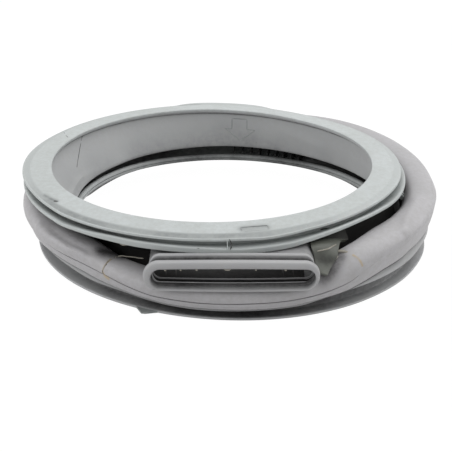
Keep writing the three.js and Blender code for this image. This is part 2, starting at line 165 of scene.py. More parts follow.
def around(*stations):
    """Smooth closed course of one size round the ring, through (azimuth, size) stations."""
    count = len(stations)

    def at(i):
        return stations[i % count]

    def span(i):
        return (at(i + 1)[0] - at(i)[0]) % 360

    def slope(i):
        return (at(i + 1)[1] - at(i)[1]) / span(i)

    def tangent(i):
        before, after = slope(i - 1), slope(i)
        return 2 * before * after / (before + after) if before * after > 0 else 0

    def size(azimuth):
        azimuth %= 360
        i = max(k for k in range(-1, count) if k < 0 or at(k)[0] <= azimuth)
        length = span(i)
        t = (azimuth - at(i)[0]) % 360 / length
        ease = t * t * (3 - 2 * t)
        lead = t * (1 - t) ** 2 * tangent(i) * length
        trail = t * t * (1 - t) * tangent(i + 1) * length
        return at(i)[1] * (1 - ease) + at(i + 1)[1] * ease + lead - trail

    return size


# The relaxed bellows sags; heights are above the floor, reaches from the tub ring's rim
crest_height = around(
    (0, 60), (18, 63), (35, 66), (52, 67), (78, 63), (105, 57), (140, 51), (180, 48.5), (215, 48),
    (228, 46), (238, 41), (248, 36.8), (262, 35.9), (280, 36.2), (290, 40), (298, 49), (305, 56),
    (314, 59), (330, 60), (345, 60))
crest_reach = around(
    (0, -8), (25, -4), (50, 0), (140, -2), (225, -2), (245, -9), (270, -12), (292, -12), (304, -10),
    (318, -14), (330, -13.5), (340, -11))
bulge_height = around(
    (0, 53), (30, 52), (60, 48), (100, 40), (180, 38), (222, 37), (238, 31), (252, 25.5),
    (270, 24.5), (285, 26), (297, 33), (300, 36.5), (305, 43.5), (312, 49), (325, 54), (340, 55.5))
bulge_reach = around(
    (0, 5.5), (22, 10.5), (50, 14), (180, 13.5), (215, 13.5), (235, 11), (270, 10.5), (300, 11),
    (320, 9.5), (345, 5.5))
parting_height = around(
    (0, 49), (30, 46), (60, 41), (90, 36), (120, 34), (150, 30), (205, 30), (217, 30.8),
    (228, 31.8), (236, 29.7), (241, 25.9), (247, 22.1), (251, 20.4), (257, 20), (262, 19.8),
    (275, 20.9), (282, 21.7), (290, 24), (296, 27.5), (300, 31), (304.5, 38.5), (309, 43),
    (314, 45.3), (318, 46.5), (325, 51), (335, 52.5), (350, 53))
parting_reach = around(
    (0, 5), (30, 9.5), (60, 11), (90, 8.5), (210, 8.5), (240, 9.8), (270, 10), (300, 10.3),
    (320, 8.8), (345, 5))
parting_depth = around(
    (0, -0.25), (60, 0.3), (180, 0.6), (292, 0.8), (300, 0.3), (306, -0.35), (345, -0.35))
band_height = around(
    (0, 29), (30, 25), (60, 27), (90, 27), (120, 27), (150, 19), (200, 20), (212, 22.3),
    (218, 22.9), (227, 22.5), (234.4, 20.4), (241, 18.6), (247, 16.5), (255, 14.4), (262, 14.1),
    (272, 14.3), (282, 15.3), (292, 18.9), (298, 20.9), (304.5, 23.6), (310, 26.3), (315, 28.6),
    (321, 29.9), (327, 32.2), (335, 32.5), (345, 32))
band_reach = around(
    (0, 1), (30, 5), (90, 6), (225, 6), (250, 8), (290, 8), (299, 7.5), (305, 5), (312, 3),
    (325, 2), (345, 1))
slot_height = around(
    (0, 1.2), (60, 0.6), (190, 0.6), (215, 1), (236, 0.6), (250, 0.4), (290, 0.4), (302, 1.2),
    (335, 1.4))
lip_height = around(
    (0, 19), (30, 16), (60, 19.5), (90, 19.5), (120, 19.5), (150, 10), (175, 10), (205, 13.5),
    (212, 14.5), (220, 14.3), (229, 12.6), (240, 12.2), (248.4, 9.9), (254, 8.7), (262, 8.1),
    (277, 9.1), (288, 10.7), (293.4, 13.6), (302, 16.7), (315, 18.1), (328, 19.4), (338, 22),
    (345, 22))
tub_rim_slack = around((0, -1), (40, 0), (270, 0), (300, -1.5), (318, -3), (335, -3), (350, -1.5))
clamp_lip_slack = around((0, 0), (110, -2), (150, -5), (190, -5.5), (212, -3), (232, 0))
clamp_lip_rise = around(
    (0, 0), (190, 0), (205, 1.7), (221, 1.7), (226, 1), (230, 1.5), (237, 2.2), (243.6, 3),
    (252, 2.4), (258.5, 2), (267, 1.2), (275, 0.2), (280, -0.5), (291, 0), (298, 1.8), (304, 3.2),
    (311, 4.3), (315, 4.6), (324.5, 3.9), (331, 2.4), (345, 0))
clamp_lip_thickness = around((0, 3.5), (230, 3.5), (248, 5.5), (285, 5.5), (305, 4), (320, 3.5))
rim_lift = around(
    (0, 0), (150, 0), (190, 2.4), (205, 2.6), (213, 1.8), (219, 1), (225, 0), (278, -0.3),
    (286, -1.2), (292, -0.4), (298, 0.9), (312, 1.7), (321, 2.2), (335, 1.6), (350, 0))
gap_reach = around(
    (0, 0), (205, 0), (222, 2), (232, 6), (240, 12), (252, 12), (262, 5), (285, 5), (295, 9),
    (302, 13), (310, 7), (318, 2), (340, 0))
pocket_depth = around(
    (0, 3), (30, 0), (200, 0), (222, 6), (234, 13), (252, 13), (262, 3), (285, 3), (295, 12),
    (318, 12), (340, 7))
flange_lift = around(
    (0, 0), (28, 0), (37, 3.5), (48, 8), (65, 10.5), (90, 11), (115, 10.5), (132, 8), (143, 3.5),
    (152, 0), (345, 0))
fold_lift = around(
    (0, 0), (45, -1.2), (90, 0.2), (125, -1.5), (150, -4), (175, -4.5), (200, -2), (345, 0))
drum_face = around((0, 6), (45, 6), (75, 4.4), (105, 4.4), (140, 6))
door_dip = around((0, -0.6), (25, -1.8), (50, -2.4), (75, -1.2), (100, 0), (340, 0))

# Painted shade where shade falls, in hollows, grooves and under overhangs: 0 is clean rubber, 1 nearly
# black, under 0 a pale painted highlight
margin_grime = around(
    (0, 0.05), (120, 0.1), (195, 0.15), (215, 0.34), (265, 0.36), (298, 0.3), (315, 0.08),
    (345, 0.05))
crest_grime = around(
    (0, 0.02), (150, 0.1), (200, 0), (225, 0.05), (240, 0.15), (250, 0.4), (270, 0.5), (292, 0.4),
    (303, 0.05), (318, 0), (345, 0))
groove_grime = around(
    (0, 0.3), (200, 0.5), (220, 0.5), (235, 0.65), (250, 0.5), (262, 0.28), (285, 0.28),
    (300, 0.42), (312, 0.35), (325, 0.28))
tub_groove_grime = around(
    (0, 0.4), (200, 0.45), (225, 0.5), (250, 0.8), (285, 0.82), (300, 0.72), (315, 0.55),
    (340, 0.4))
flange_grime = around(
    (0, 0), (195, 0.08), (225, 0.12), (250, 0.6), (270, 0.8), (285, 0.75), (300, 0.3), (315, 0.05),
    (340, 0))
hollow_grime = around(
    (0, 1), (50, 0.85), (65, 0.55), (100, 0.6), (120, 0.8), (140, 0.75), (175, 0.6), (215, 0.95))
gap_grime = around((0, 0.55), (200, 0.7), (230, 1), (326, 1), (338, 0.65))
drum_grime = around(
    (0, 0.2), (45, 0.35), (65, 0.58), (105, 0.6), (125, 0.35), (150, 0.05), (200, 0))
wall_grime = around((0, 0.15), (60, 0.25), (90, 0.42), (120, 0.3), (160, 0.22), (200, 0.22))
lip_grime = around(
    (0, 0), (200, -0.05), (235, 0.05), (250, 0.15), (285, 0.15), (300, 0), (320, -0.3), (345, -0.1))


def mix(a, b, share):
    return a + (b - a) * share


def rim_lug(azimuth):
    """How far the rim's lug stands out."""
    away = abs(azimuth - LUG_AZIMUTH) / (LUG_SPAN / 2)
    return LUG_REACH * (1 - away ** 4) if away < 1 else 0


# The ring's section. A corner is (radius, height, follow, rounding, points after it, painted shading):
# follow 0 keeps to the tub ring, 1 to the door ring, which has slid aside and leans.
CORNER_CUTS = 3


def rounded(corners):
    """Section points along the closed row of corners, each corner rounded off."""
    course = np.array([corner[:3] + corner[5:] for corner in corners], float)
    count = len(course)
    starts, ends = [], []
    for i, corner in enumerate(corners):
        here, before, after = course[i], course[i - 1], course[(i + 1) % count]
        reach_in = min(corner[3], 0.45 * np.linalg.norm((before - here)[:2]))
        reach_out = min(corner[3], 0.45 * np.linalg.norm((after - here)[:2]))
        starts.append(here + unit(before - here) * reach_in)
        ends.append(here + unit(after - here) * reach_out)
    points = []
    for i, corner in enumerate(corners):
        if corner[3] > 0:
            for k in range(CORNER_CUTS + 1):
                t = k / CORNER_CUTS
                points.append(
                    starts[i] * (1 - t) ** 2 + course[i] * 2 * t * (1 - t) + ends[i] * t * t)
        else:
            points.append(course[i])
        following = starts[(i + 1) % count]
        for k in range(1, corner[4] + 1):
            points.append(mix(ends[i], following, k / (corner[4] + 1)))
    return points


def unit(vector):
    length = np.linalg.norm(vector[:2])
    return vector / length if length > 1e-9 else vector * 0


def door_ring(azimuth):
    """Face, margin, groove for the panel's rim, and the clamp lip with its thick drooping edge."""
    lift = rim_lift(azimuth)
    rim = RIM_RADIUS + rim_lug(azimuth)
    rim_top = RIM_HEIGHT + lift
    lip = CLAMP_LIP_RADIUS + clamp_lip_slack(azimuth)
    lip_top = CLAMP_LIP_TOP + clamp_lip_rise(azimuth) + 1
    lip_foot = lip_top - clamp_lip_thickness(azimuth)
    margin = margin_grime(azimuth)
    edge = lip_grime(azimuth)
    groove = groove_grime(azimuth)
    # The last value of each corner is painted shade: darker on the margin, in the panel groove and
    # under the clamp lip, with a pale painted highlight along the rim's edge and, on the right, along
    # the lip's edge.
    return [
        (DOOR_RADIUS, FACE_HEIGHT, 1, 1.5, 9, 0),
        (MARGIN_RADIUS, MARGIN_HEIGHT + lift * 0.3, 1, 0.6, 0, 0),
        (MARGIN_RADIUS + 1.6, MARGIN_HEIGHT - 1 + lift * 0.4, 1, 0.8, 2, margin),
        (rim - 1.8, rim_top - 0.1, 1, 0.8, 0, margin),
        (rim - 0.2, rim_top + 0.2, 1, 0.7, 0, -0.2),
        (rim, rim_top - RIM_THICKNESS, 1, 0.6, 1, 0.1),
        (PANEL_GROOVE_RADIUS, rim_top - RIM_THICKNESS - 0.6, 1, 1.2, 1, groove),
        (PANEL_GROOVE_RADIUS, CLAMP_LIP_TOP + 0.3, 1, 1.4, 1, groove),
        (lip - 6.5, mix(CLAMP_LIP_TOP, lip_top, 0.6), 1, 1.5, 1, groove * 0.7),
        (lip - 2, lip_top, 1, 1, 0, groove * 0.3),
        (lip - 0.1, lip_top - 0.5, 1, 0.8, 1, edge),
        (lip, lip_foot + 0.5, 1, 0.7, 0, edge),
        (lip - 1.6, lip_foot - 0.1, 1, 0.8, 0, 0.7),
        (lip - 4, mix(CLAMP_LIP_TOP, lip_top, 0.8) - 2.6, 1, 1.5, 1, 1),
        (PANEL_GROOVE_RADIUS, CLAMP_LIP_TOP - 3, 1, 1.5, 0, 1),
        (PANEL_GROOVE_RADIUS - 6, CLAMP_LIP_TOP - 3.6, 1, 2.5, 0, 1),
    ]


def neck(share, outwards, rounding=0, extra=0, grime=0.0):
    """Corner on the neck: share 0 is its fold, 1 the line under the bead."""
    return (
        mix(FOLD_RADIUS, BEAD_RADIUS, share) + outwards,
        mix(FOLD_HEIGHT, FACE_HEIGHT - BEAD_HEIGHT, share),
        mix(FOLD_FOLLOW, 1, share), rounding, extra, grime)


def gap_floor(azimuth):
    """Outer end of the gap between neck and bellows: radius and height of its floor."""
    return TUBE_RADIUS + gap_reach(azimuth), RECESS_FLOOR - pocket_depth(azimuth)


def recess(azimuth):
    """Outside of the neck, down to the floor of the gap behind it."""
    tube_inner, floor = gap_floor(azimuth)
    # All of the outside of the neck and the gap's floor is painted nearly black, as painted shade under
    # the door ring.
    return [
        neck(0.62, NECK_WALL, 2, 2, 1),
        neck(0.24, NECK_WALL, 2, 0, 1),
        (FOLD_RADIUS + NECK_WALL + 1.5, RECESS_FLOOR + 1.4, FOLD_FOLLOW, 1.5, 0, 1),
        (tube_inner - 3.5, floor, FOLD_FOLLOW, 2, 0, 1),
    ]


def bellows(azimuth):
    """Outside of the bellows: up its inner side, over the crest, past the parting line to the band."""
    crest = (TUB_RADIUS + crest_reach(azimuth), crest_height(azimuth))
    bulge = (TUB_RADIUS + bulge_reach(azimuth), bulge_height(azimuth))
    parting = (TUB_RADIUS + parting_reach(azimuth), parting_height(azimuth))
    band = (TUB_RADIUS + band_reach(azimuth), band_height(azimuth))
    tube_inner, floor = gap_floor(azimuth)
    inner = (tube_inner, mix(floor, crest[1], 0.12))
    depth = parting_depth(azimuth)
    local_shade = crest_grime(azimuth)
    corners = []
    # Painted shade: the bellows' inner side darkens towards the gap, and the shade fades out over the
    # crest and down the outer side.
    for degrees in range(180, 90, -10):
        turn = math.radians(degrees)
        out = abs(math.cos(turn)) ** 0.75
        up = math.sin(turn) ** 0.75 if degrees < 180 else 0
        corners.append((
            mix(crest[0], inner[0], out), mix(inner[1], crest[1], up), FOLD_FOLLOW * out / 2, 0, 0,
            mix(local_shade, gap_grime(azimuth), min(1, 1.2 * out ** 4))))
    for degrees in range(90, -1, -9):
        turn = math.radians(degrees)
        out = max(math.cos(turn), 0) ** 0.85
        up = max(math.sin(turn), 0) ** 0.85
        corners.append((
            mix(crest[0], bulge[0], out), mix(bulge[1], crest[1], up), 0, 0, 0,
            mix(local_shade, 0, min(1, 1.6 * out))))
    above = max(bulge[1] - parting[1], 0.5)
    for k in (1, 2, 3):
        t = k / 4
        corners.append((mix(bulge[0], parting[0], t * t), bulge[1] - above * t, 0, 0, 0, 0))
    # A sunk parting line is painted as a dark line of shade, a raised one with a pale painted
    # highlight.
    corners += [
        (parting[0] + 0.1, parting[1] + 0.6, 0, 0, 0, 0),
        (parting[0] - depth, parting[1], 0, 0, 0, 0.7 if depth > 0 else -0.2),
        (parting[0] + 0.1, parting[1] - 0.6, 0, 0, 0, 0),
    ]
    for k in range(1, 6):
        t = k / 6
        belly = 3.6 * t * (1 - t) * min(1, (parting[1] - band[1]) / 8)
        corners.append(
            (mix(parting[0], band[0], t) + belly, mix(parting[1] - 0.6, band[1] + 0.6, t), 0, 0, 0, 0))
    corners.append((band[0] + 0.1, band[1], 0, 0.7, 0, 0))
    return corners


def tub_ring(azimuth):
    """Slot under the band, lip, groove for the tub's lip, and the flange that the seal stands on."""
    lip = lip_height(azimuth)
    slot = slot_height(azimuth)
    band = TUB_RADIUS + band_reach(azimuth)
    slot_top = band_height(azimuth)
    rim = TUB_RADIUS + tub_rim_slack(azimuth)
    deep = band - slot * SLOT_SLOPE
    lift = flange_lift(azimuth)
    top = FLANGE_THICKNESS + lift
    local_shade = tub_groove_grime(azimuth)
    # Painted shade in the slot, in the groove and on the flange's top under the overhang, with a pale
    # painted highlight along the lip's edge.
    return [
        (deep, slot_top - 0.2, 0, 0, 0, 1),
        (deep, slot_top - slot, 0, 0, 0, 1),
        (band - 1, slot_top - slot - 0.3, 0, 0.8, 2, 0.45),
        (TUB_RADIUS + 0.5, lip + 0.9, 0, 0.6, 0, -0.15),
        (TUB_RADIUS - 0.3, lip, 0, 0.6, 0, 0.5),
        (TUB_GROOVE_RADIUS + 2, lip - 0.4, 0, 1.5, 0, local_shade),
        (TUB_GROOVE_RADIUS, lip - 2.4, 0, 1, 1, local_shade),
        (TUB_GROOVE_RADIUS, top + 0.5, 0, 1.4, 0, local_shade),
        (TUB_GROOVE_RADIUS + 5, top + 0.2, 0, 0, 1, mix(local_shade, flange_grime(azimuth), 0.6)),
        (rim - 3, top, 0, 0, 0, flange_grime(azimuth)),
        (rim, top, 0, 0.7, 0, 0),
        (rim, lift, 0, 0.6, 1, 0.1),
        (TUB_RADIUS - FOOT_DEPTH, lift, 0, 1, 0, 0.8),
        (TUB_RADIUS - FOOT_DEPTH - 1.5, lift + 2.5, 0, 1, 1, 0.6),
    ]


def drum_lip(azimuth):
    """Lip at the drum, with a fine line round its face, and the floor of the hollow behind it."""
    lip = lip_height(azimuth)
    face = DRUM_LIP_RADIUS
    tall = drum_face(azimuth)
    low, top = DRUM_LIP_HEIGHT, DRUM_LIP_HEIGHT + tall
    hollow = hollow_grime(azimuth)
    local_shade = drum_grime(azimuth)
    # Painted shade on the lip's face, darker in its fine line, and on the floor of the hollow behind
    # it.
    return [
        (face + 6, low - 2.8, 0, 1.2, 1, 0.5),
        (face, low, 0, 0.9, 0, local_shade + 0.15),
        (face - 0.2, low + 0.4 * tall, 0, 0, 0, local_shade),
        (face + 0.5, low + 0.5 * tall, 0, 0, 0, 0.8),
        (face - 0.1, low + 0.6 * tall, 0, 0, 0, local_shade),
        (face + 0.2, top, 0, 1, 0, local_shade),
        (face + 3.5, top + 0.7, 0, 1.4, 1, local_shade),
        (face + 16, mix(lip, low, 0.5) + 1.5, 0, 2, 1, hollow),
        (TUB_GROOVE_RADIUS - 0.5, lip + 3.4, 0, 2, 0, hollow),
        (TUB_GROOVE_RADIUS + 3, lip + 6, 0, 2, 0, hollow),
    ]


def bellows_inside(outside):
    """Inside of the bellows: every second point of its outside moved in by the wall."""
    inside = []
    for i in range(len(outside) - 3, 1, -2):
        before, here, after = (np.array(outside[k][:2]) for k in (i - 2, i, i + 2))
        along = after - before
        along = along / max(np.linalg.norm(along), 1e-6)
        # The inside of the bellows is painted fully dark, as painted shade.
        inside.append(
            (here[0] + along[1] * WALL, here[1] - along[0] * WALL, outside[i][2], 0, 0, 1))
    return inside


def opening_wall(azimuth):
    """Fold under the neck, the inside of the neck, and the bead round the door opening."""
    fold = FOLD_HEIGHT + fold_lift(azimuth)
    # Painted shade under the fold and on the neck's inside, darker at the back, a dark painted line
    # under the bead, and a pale painted highlight at the opening's edge.
    return [
        (FOLD_RADIUS + 8, fold - 0.6, FOLD_FOLLOW, 1, 0, 1),
        (FOLD_RADIUS + 0.8, fold - 1, FOLD_FOLLOW, 1.6, 0, 0.45),
        neck(0.05 + fold_lift(azimuth) / 34, 0, 2, 6, wall_grime(azimuth)),
        neck(0.55, 0, 2, 6, wall_grime(azimuth) * 0.5),
        neck(0.97, 0, 1.2, 0, 0.08),
        (BEAD_RADIUS - 0.9, FACE_HEIGHT - BEAD_HEIGHT + 0.6, 1, 0.4, 0, 0.75),
        (BEAD_RADIUS - 2.6, FACE_HEIGHT - BEAD_HEIGHT + 1.6, 1, 0.8, 1, 0.1),
        (DOOR_RADIUS + 0.4, FACE_HEIGHT - 3, 1, 1.4, 0, -0.1),
    ]


def section(azimuth):
    """Section points: radius, height, follow, painted shading and tone, 1 for the violet grey bellows.
    """
    tube = bellows(azimuth)
    gap = recess(azimuth)
    outside = [gap[-1]] + tube[:-1]
    tube_inner, floor = gap_floor(azimuth)
    # The fold under the gap is painted fully dark, as painted shade.
    fold = [(tube_inner - 1.5, floor - WALL, FOLD_FOLLOW, 2, 0, 1)]
    stretches = (
        (door_ring(azimuth), 0.1), (gap, 0.5), (tube, 1), (tub_ring(azimuth), 0.7),
        (drum_lip(azimuth), 0.3), (bellows_inside(outside), 0.5), (fold + opening_wall(azimuth), 0.6))
    return rounded([corner + (tone,) for corners, tone in stretches for corner in corners])


def place(points, azimuth):
    """Where section points (radius, height, follow) lie at an azimuth."""
    points = np.atleast_2d(np.array(points, float))
    turn = math.radians(azimuth)
    x = points[:, 0] * math.cos(turn)
    y = points[:, 0] * math.sin(turn)
    follow = points[:, 2]
    lean = DOOR_TILT_X * x + DOOR_TILT_Y * y + door_dip(azimuth)
    return np.stack([x + DOOR_SHIFT * follow, y, points[:, 1] + follow * lean], 1)


def on_door(radius, height, azimuth):
    """Point that keeps to the door ring."""
    return tuple(place([(radius, height, 1)], azimuth)[0])


def on_face(radius, azimuth):
    """Point on the flat face of the door ring."""
    return on_door(radius, FACE_HEIGHT - FACE_DROP * (radius - DOOR_RADIUS) / FACE_WIDTH, azimuth)


def on_wall(x, height):
    """Point on the inside of the neck at the back."""
    share = (height - FOLD_HEIGHT) / (FACE_HEIGHT - BEAD_HEIGHT - FOLD_HEIGHT)
    radius, level, follow = neck(share, 0)[:3]
    azimuth = math.degrees(math.acos((x - DOOR_SHIFT * follow) / radius))
    return tuple(place([(radius, level, follow)], azimuth)[0])


def directions(azimuth):
    """Unit vectors outwards and along the ring."""
    turn = math.radians(azimuth)
    return (np.array([math.cos(turn), math.sin(turn), 0]),
            np.array([-math.sin(turn), math.cos(turn), 0]))


# Meshes
low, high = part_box("door_seal")
FROM_MOULD = np.array([
    high.x / MM - TUB_RADIUS - bulge_reach(0), low.y / MM + INLET_FACE, 0])


def in_frame(points):
    """Points in metres in the part's frame."""
    return (np.asarray(points, float) + FROM_MOULD) * MM


def add_object(name, data):
    made = bpy.data.objects.new(name, data)
    bpy.context.scene.collection.objects.link(made)
    return made


def make_mesh(name, points, faces, sharp=SHARP_EDGE):
    mesh = bpy.data.meshes.new(name)
    mesh.from_pydata([tuple(point) for point in in_frame(points)], [], faces)
    tidy = bmesh.new()
    tidy.from_mesh(mesh)
    bmesh.ops.remove_doubles(tidy, verts=tidy.verts, dist=1e-6)
    bmesh.ops.recalc_face_normals(tidy, faces=tidy.faces)
    tidy.to_mesh(mesh)
    tidy.free()
    mesh.shade_smooth()
    mesh.set_sharp_from_angle(angle=math.radians(sharp))
    return add_object(name, mesh)


def skin(rings, closed=True):
    """Quads between rings of points; closed rows join the last ring to the first."""
    rows, count = len(rings), len(rings[0])
    faces = []
    for r in range(rows if closed else rows - 1):
        here, following = r * count, (r + 1) % rows * count
        for i in range(count):
            j = (i + 1) % count
            faces.append((here + i, here + j, following + j, following + i))
    return np.concatenate(rings), faces


def capped(rings):
    """Solid through a row of rings, with a flat cap on each end."""
    points, faces = skin(rings, closed=False)
    count = len(rings[0])
    last = len(points) - count
    faces.append(tuple(range(count)))
    faces.append(tuple(last + i for i in reversed(range(count))))
    return points, faces


def azimuths():
    """Finer at the front, where most of the detail is."""
    found, azimuth = [], 0.0
    while azimuth < 359.9:
        found.append(azimuth)
        azimuth += FRONT_STEP if FRONT[0] <= azimuth < FRONT[1] else BACK_STEP
    return found


def distances(points, course):
    """Distance of each point to a course of straight stretches."""
    course = np.array(course, float)
    found = []
    for start, end in zip(course, course[1:]):
        along = end - start
        share = np.clip((points - start) @ along / (along @ along), 0, 1)
        found.append(np.linalg.norm(points - start - share[..., None] * along, axis=-1))
    return np.min(found, axis=0)


# Dents and swellings of the slack rubber: course, half width, depth
DENTS = (
    (((-176, -98, 42), (-163, -120, 41.5), (-152, -132, 41), (-142, -142, 41), (-131, -151, 41)),
     3.8, 2.6),
    (((-160, -115, 46), (-143, -137, 44.5), (-124, -152, 43)), 3.8, -1.4),
    (((-167, -122, 36), (-150, -140, 36), (-131, -156, 35.5), (-118, -164, 35)), 4, -0.8),
    (((145, -93, 56.5), (148, -105, 57.6), (149.5, -112, 57.3), (151, -119, 56.7)), 2.6, -1.5),
    (((173, -52, 59), (166, -73, 58.5), (160, -91, 58), (154, -108, 57.3), (151, -123, 56)), 4.4, 3),
    (((50, 142, 59), (71, 130, 54), (92, 115, 48.5)), 6, 1.3),
    (((-158, -12, 39.5), (-157, 14, 39), (-154, 34, 38.5), (-145, 56, 38), (-130, 80, 37.5)), 1.8, 1.8),
)


def dented(points):
    """Grid of surface points with the dents pushed in along its normals."""
    onwards = np.roll(points, -1, 1) - np.roll(points, 1, 1)
    around_ring = np.roll(points, -1, 0) - np.roll(points, 1, 0)
    normals = np.cross(onwards, around_ring)
    normals /= np.maximum(np.linalg.norm(normals, axis=2, keepdims=True), 1e-9)
    for course, half_width, depth in DENTS:
        push = depth * np.exp(-(distances(points, course) / half_width) ** 2)
        points = points + push[..., None] * normals
    return points


def ring_grid():
    """Points of the ring, a row for each azimuth, and the painted shading and tone of each."""
    rows = [(azimuth, np.array(section(azimuth))) for azimuth in azimuths()]
    points = np.stack([place(row, azimuth) for azimuth, row in rows])
    return dented(points), np.stack([row[:, 3:] for _, row in rows])


def inlet_outline(end_inset, side_inset, back, inner=0):
    """Outline across the inlet, a flat oval; inner outlines lie a little aside and lower."""
    end_steps, side_steps = INLET_STEPS
    end_centre = INLET_HALF_WIDTH - INLET_HALF_HEIGHT
    end_reach = INLET_HALF_WIDTH - end_inset - end_centre
    half = INLET_HALF_HEIGHT - side_inset
    flat = []
    for side in (1, -1):
        for k in range(end_steps + 1):
            turn = math.pi * (k / end_steps - 0.5)
            flat.append(
                (side * (end_centre + end_reach * math.cos(turn)), side * half * math.sin(turn)))
        for k in range(1, side_steps):
            flat.append((side * end_centre * (1 - 2 * k / side_steps), side * half))
    points = []
    for x, up in flat:
        bow = 1 - (x / INLET_HALF_WIDTH) ** 2
        lift = (INLET_ARCH if up > 0 else -INLET_SAG) * bow * abs(up) / half + INLET_TILT * x
        points.append((
            x + INLET_MIDDLE + inner * OPENING_ASIDE, back - INLET_FACE,
            INLET_HEIGHT + up + lift - inner * OPENING_DROP))
    return np.array(points)


def inlet_courses():
    """Outlines of the duct wall: round its rim, over groove and ridge, and back over the ribs."""
    ridge_start = INLET_RIM_DEPTH + INLET_GROOVE_WIDTH
    ridge_end = ridge_start + INLET_RIDGE_WIDTH
    body = INLET_RIM - INLET_WALL
    groove = INLET_GROOVE_DEPTH
    ridge, crest = INLET_RIDGE_INSET, -INLET_RIDGE_RISE
    outside = [
        (INLET_END_RIM / 2, INLET_RIM / 2, -0.3, 0.5), (1.4, 1.4, 0, 0), (0.5, 0.5, 0.5, 0),
        (0.1, 0.1, 1.4, 0), (0, 0, 2.6, 0), (0, 0, INLET_RIM_DEPTH - 1.4, 0),
        (0.3, 0.3, INLET_RIM_DEPTH - 0.4, 0), (1, 1, INLET_RIM_DEPTH, 0),
        (groove + 0.6, groove - 0.6, INLET_RIM_DEPTH + 0.4, 0),
        (groove + 1.5, groove, INLET_RIM_DEPTH + 1.2, 0),
        (groove + 1.5, groove, ridge_start - 0.6, 0), (groove + 1, groove - 1, ridge_start, 0),
        (ridge, crest + 0.7, ridge_start + 0.3, 0), (ridge, crest, ridge_start + 1.1, 0),
        (ridge, crest, ridge_end - 1.1, 0), (ridge, crest + 0.7, ridge_end - 0.3, 0),
        (ridge, body, ridge_end + 0.8, 0), (ridge, body, INLET_LENGTH, 0),
    ]
    inside = [(0, INLET_LENGTH)]
    for rib in reversed(INLET_RIB_PLACES):
        for along, rise in ((1, 0), (0.45, 0.8), (0, 1), (-0.45, 0.8), (-1, 0)):
            inside.append((rise * INLET_RIB_RISE, rib + along * INLET_RIB_WIDTH / 2))
    inside += [(0, 2.4), (-0.2, 1.1), (-0.7, 0.4), (-1.5, 0)]
    return outside + [(INLET_END_RIM + rise, INLET_RIM + rise, back, 1) for rise, back in inside]


def duct_grime(course):
    """Painted shade at one outline of the duct wall: darker deeper inside the duct and in the groove
    behind its rim.
    """
    end_inset, side_inset, back, inner = course
    ridge_start = INLET_RIM_DEPTH + INLET_GROOVE_WIDTH
    if inner == 1:
        return 0 if side_inset > INLET_RIM + 1 else min(0.95, 0.12 + back / 14)
    if back < INLET_RIM_DEPTH:
        return 0.13
    if back > ridge_start + INLET_RIDGE_WIDTH:
        return 0.35
    return 0.15 if side_inset < 0 else 0.82


def cut(piece, tool):
    """Cut a solid out of a piece; the tool is thrown away."""
    change = piece.modifiers.new("cut", "BOOLEAN")
    change.operation, change.solver, change.object = "DIFFERENCE", "MANIFOLD", tool
    bpy.context.view_layer.update()
    done = bpy.data.meshes.new_from_object(
        piece.evaluated_get(bpy.context.evaluated_depsgraph_get()))
    piece.modifiers.clear()
    piece.data = done
    bpy.data.objects.remove(tool)
    done.materials.clear()
    done.shade_smooth()
    done.set_sharp_from_angle(angle=math.radians(SHARP_EDGE))


def opening_room():
    """Space inside the neck, as a solid that trims the duct's back end flush."""
    rings = []
    for azimuth in range(0, 360, 3):
        outer = [neck(share, 0.4)[:3] for share in (1, 0.65, 0.3, -0.1)]
        inner = INLET_FACE - INLET_LENGTH - 60
        course = [(inner, outer[0][1], outer[0][2])] + outer + [(inner, outer[3][1], outer[3][2])]
        rings.append(place(course, azimuth))
    return make_mesh("opening_room", *skin(rings))


def inlet_passage():
    """Space that the duct takes out of the neck and the bellows; it ends inside the duct's wall."""
    inset = INLET_WALL / 2
    rings = [inlet_outline(INLET_END_RIM - inset, INLET_RIM - inset, back, 1)
             for back in (INLET_RIM_DEPTH, INLET_LENGTH)]
    return make_mesh("inlet_passage", *capped(rings))


def pressed_flat():
    """Box that presses the shallow rectangle into the door face."""
    middle = np.array(on_face(MARGIN_RADIUS - FLAT_SETBACK / 2, FLAT_AZIMUTH))
    outwards, along = directions(FLAT_AZIMUTH)
    outwards = outwards - (0, 0, FACE_DROP / FACE_WIDTH)
    corners = [(-1, -1), (1, -1), (1, 1), (-1, 1)]
    rings = [np.array([
        middle + a * FLAT_WIDTH / 2 * outwards + b * FLAT_LENGTH / 2 * along + (0, 0, up)
        for a, b in corners]) for up in (-FLAT_DEPTH, FLAT_DEPTH)]
    return make_mesh("pressed_flat", *capped(rings))


def paint(piece, places, **values):
    """Vertex values for the finishes, each taken from the nearest of some places."""
    tree = KDTree(len(places))
    for i, spot in enumerate(in_frame(places)):
        tree.insert(spot, i)
    tree.balance()
    nearest = [tree.find(vertex.co)[1] for vertex in piece.data.vertices]
    for name, value in values.items():
        layer = piece.data.attributes.new(name, "FLOAT", "POINT")
        layer.data.foreach_set("value", value[nearest])


# Painted shadows in the hollow at the left, beside the shoulder and under the inlet, and darker smudges
# on the door ring: course, half width, strength
SHADOWS_AND_SMUDGES = (
    (((-112, -150, 44), (-97, -152, 42), (-84, -150, 40)), 8, 0.95),
    (((92, -163, 48), (86, -172, 44), (78, -186, 38)), 6, 0.75),
    (((60, -192, 33), (-60, -192, 30)), 4, 0.3),
    (((-171, -91, 70.3), (-164, -100, 70.5), (-158, -106, 70.8)), 2.4, 0.5),
    ((on_face(169, FLAT_AZIMUTH - 3), on_face(169, FLAT_AZIMUTH + 3)), 4.4, 0.7),
    ((on_door(181, 72.3, 96), on_door(181, 72.3, 102)), 3, 0.35),
)


